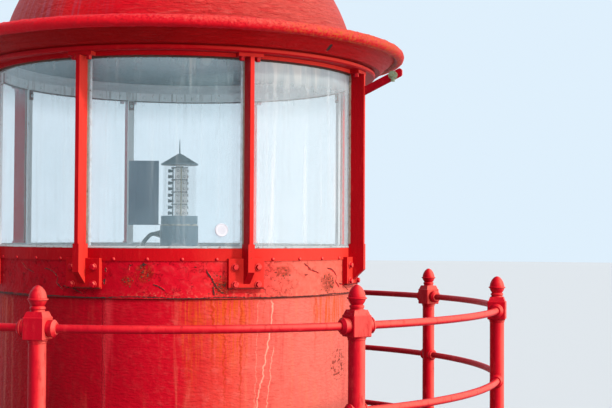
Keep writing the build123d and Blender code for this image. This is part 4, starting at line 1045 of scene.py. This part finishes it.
# Scabs: turn, level, spread in degrees and in metres, how many and the wall's radius
chance = Random(SEED)
scabs = bmesh.new()
for turn, level, across, up, count, face in (
    (11.6, 1.17, 3.2, 0.055, 44, BAND_FACE), (49.5, 1.185, 4, 0.045, 26, BAND_FACE),
    (-9.4, 1.235, 2.6, 0.036, 12, BAND_FACE), (-14.2, 1.2, 1.8, 0.02, 8, BAND_FACE),
    (31, 1.23, 4, 0.04, 8, BAND_FACE), (57, 0.8, 5, 0.08, 12, WALL_FACE),
    (106, 1.185, 5, 0.05, 20, BAND_FACE), (172, 1.2, 6, 0.05, 20, BAND_FACE),
    (-104, 1.19, 5, 0.05, 20, BAND_FACE),
):
    for number in range(count):
        size = chance.uniform(0.0012, 0.0048)
        lump = [(0, -0.002), (size, -0.002), (size, 0.0001), (size * 0.7, size * 0.35)]
        lump += [(0, size * 0.45)]
        aside = chance.gauss(0, across / 2)
        place = outward(turn + aside, face, DECK + level + chance.gauss(0, up / 2))
        round_part(scabs, lump, 7, place, uneven=size * 0.35)
keep(scabs, "rust_scabs", BROWN_RUST, smooth=60)


# Lamp and vent details

LENS = [(0.005, 0), (0.0047, 0.0034), (0.0032, 0.005), (0, 0.0057)]
LENS_RING = [(0.005, 0), (0.0066, 0), (0.0066, 0.003), (0.005, 0.0042), (0.005, 0)]
SIDE_CAP = [(0, 0), (0.006, 0), (0.0062, 0.004), (0.009, 0.021), (0, 0.022)]
PIN_HOLE = [(0, -0.001), (0.0014, -0.001), (0.0014, 0.0002), (0, 0.0002)]

lenses = bmesh.new()
rings = bmesh.new()
for tier in range(4):
    for level in (0.0145, 0.0435):
        z = TUBE_FOOT + tier * TIER + level
        for face in (0, 90, 180):
            for side in (-0.0155, 0.0155):
                spin = Matrix.Translation((DRUM_X, 0, z)) @ Matrix.Rotation(radians(face), 4, "Z")
                lie = Matrix.Rotation(radians(90), 4, "X")
                place = spin @ Matrix.Translation((side, -DRUM_HALF, 0)) @ lie
                round_part(rings, LENS_RING, 16, place)
                round_part(lenses, LENS, 14, place)
        for side in (-0.012, 0.012):
            place = Matrix.Translation((-0.0358, side, z)) @ Matrix.Rotation(radians(-90), 4, "Y")
            round_part(rings, SIDE_CAP, 14, place)
keep(lenses, "lamp_lenses", WHITE_PLASTIC)
keep(rings, "lens_rings", DARK_METAL)

nut = bmesh.new()
ribs = [(0, 0), (0.019, 0), (0.019, 0.006), (0.015, 0.0068)]
for rib in range(4):
    start = 0.008 + 0.0045 * rib
    size = 0.0168 - 0.0012 * rib
    groove = size - 0.0022
    ribs += [(groove, start), (size, start + 0.001)]
    ribs += [(size, start + 0.0028), (groove, start + 0.0036)]
ribs += [(0.0104, 0.028), (0, 0.028)]
gland = Matrix.Translation((-0.0957, 0, DECK + 1.402)) @ Matrix.Rotation(radians(-90), 4, "Y")
round_part(nut, ribs, 24, gland)
keep(nut, "gland_nut", DARK_METAL)

holes = bmesh.new()
vent = outward(11.5, GLASS_FACE + 0.0093, DECK + 1.421)
for count, reach in ((1, 0), (6, 0.0075), (12, 0.015)):
    for number in range(count):
        turn = 2 * pi * number / count
        place = vent @ Matrix.Translation((reach * cos(turn), reach * sin(turn), 0))
        round_part(holes, PIN_HOLE, 8, place)
keep(holes, "vent_holes", SCREEN_GREY)

rim = bmesh.new()
edge = [(0.0245, 0), (0.0275, 0), (0.0275, 0.0008), (0.026, 0.0018), (0.0245, 0.0008), (0.0245, 0)]
round_part(rim, edge, 40, vent)
keep(rim, "vent_rim", WHITE_PLASTIC)


# Stage, light and camera

STAGE_LIGHT = (0.74, 0.87, 0.98)
WORLD_GLOW = (0.9, 0.94, 1)
WORLD_STRENGTH = 0.41
FLOOR_SEEN = (0.7, 0.74, 0.77)
FLOOR_LIT = (0.72, 0.73, 0.74)


def plain_floor():
    """Floor with one colour for the camera and another for the light on it."""
    finish = Finish("plain_floor", specular=0.1)
    seen = finish.add("LightPath").out("Is Camera Ray")
    return finish.set(Base_Color=finish.mix(seen, FLOOR_LIT, FLOOR_SEEN), Roughness=0.9)


floor = bmesh.new()
bmesh.ops.create_circle(floor, cap_ends=True, segments=96, radius=60)
floor_piece = shown(floor, "floor", plain_floor())

world = bpy.data.worlds.new("studio")
scene.world = world
world.use_nodes = True
tree = world.node_tree
glow = tree.nodes["Background"]
glow.inputs["Color"].default_value = (*WORLD_GLOW, 1)
glow.inputs["Strength"].default_value = WORLD_STRENGTH
backdrop = tree.nodes.new("ShaderNodeBackground")
backdrop.inputs["Color"].default_value = (*STAGE_LIGHT, 1)
rays = tree.nodes.new("ShaderNodeLightPath").outputs


def either(first, second):
    """The larger of two outputs."""
    larger = tree.nodes.new("ShaderNodeMath")
    larger.operation = "MAXIMUM"
    tree.links.new(first, larger.inputs[0])
    tree.links.new(second, larger.inputs[1])
    return larger.outputs[0]


seen = either(rays["Is Camera Ray"], either(rays["Is Glossy Ray"], rays["Is Transmission Ray"]))
choice = tree.nodes.new("ShaderNodeMixShader")
tree.links.new(seen, choice.inputs[0])
tree.links.new(glow.outputs[0], choice.inputs[1])
tree.links.new(backdrop.outputs[0], choice.inputs[2])
tree.links.new(choice.outputs[0], tree.nodes["World Output"].inputs[0])


def lamp(name, turn, rise, strength, colour, angle):
    """Soft distant light, its turn, rise and angle in degrees."""
    light = bpy.data.lights.new(name, "SUN")
    light.energy = strength
    light.color = colour
    light.angle = radians(angle)
    made = bpy.data.objects.new(name, light)
    made.rotation_mode = "QUATERNION"
    made.rotation_quaternion = Vector(towards(turn, rise)).to_track_quat("Z", "Y")
    scene.collection.objects.link(made)


lamp("key_light", SUN_TURN, SUN_RISE, 1.75, (1, 0.95, 0.88), 5)
lamp("low_light", 66, 5, 1, (1, 0.96, 0.92), 40)
lamp("sky_light", -5, 48, 1.2, (0.97, 0.98, 1), 35)
lamp("back_light", 225, 35, 0.5, (0.92, 0.95, 1), 30)

# Pinhole camera fitted to the photograph
CAMERA_PLACE = (0, -5.9748, DECK + 1.409)
CAMERA_YAW = radians(6.1467)
CAMERA_PITCH = radians(1.4256)
CAMERA_ROLL = radians(0.3002)
FOCUS_PIXELS = 1176.03
IMAGE_WIDTH = 612
eye = bpy.data.cameras.new("photo_view")
eye.sensor_width = 36
eye.lens = FOCUS_PIXELS / IMAGE_WIDTH * eye.sensor_width
eye.clip_end = 500
camera = bpy.data.objects.new("photo_view", eye)
level = Vector((sin(CAMERA_YAW), cos(CAMERA_YAW), 0))
ahead = (level * cos(CAMERA_PITCH) + Vector((0, 0, sin(CAMERA_PITCH)))).normalized()
right = Vector((cos(CAMERA_YAW), -sin(CAMERA_YAW), 0))
up = right.cross(ahead)
side = right * cos(CAMERA_ROLL) + up * sin(CAMERA_ROLL)
top = up * cos(CAMERA_ROLL) - right * sin(CAMERA_ROLL)
axes = Matrix((side, top, -ahead)).transposed()
camera.matrix_world = Matrix.Translation(CAMERA_PLACE) @ axes.to_4x4()
scene.collection.objects.link(camera)
scene.camera = camera
scene.view_settings.view_transform = "Standard"
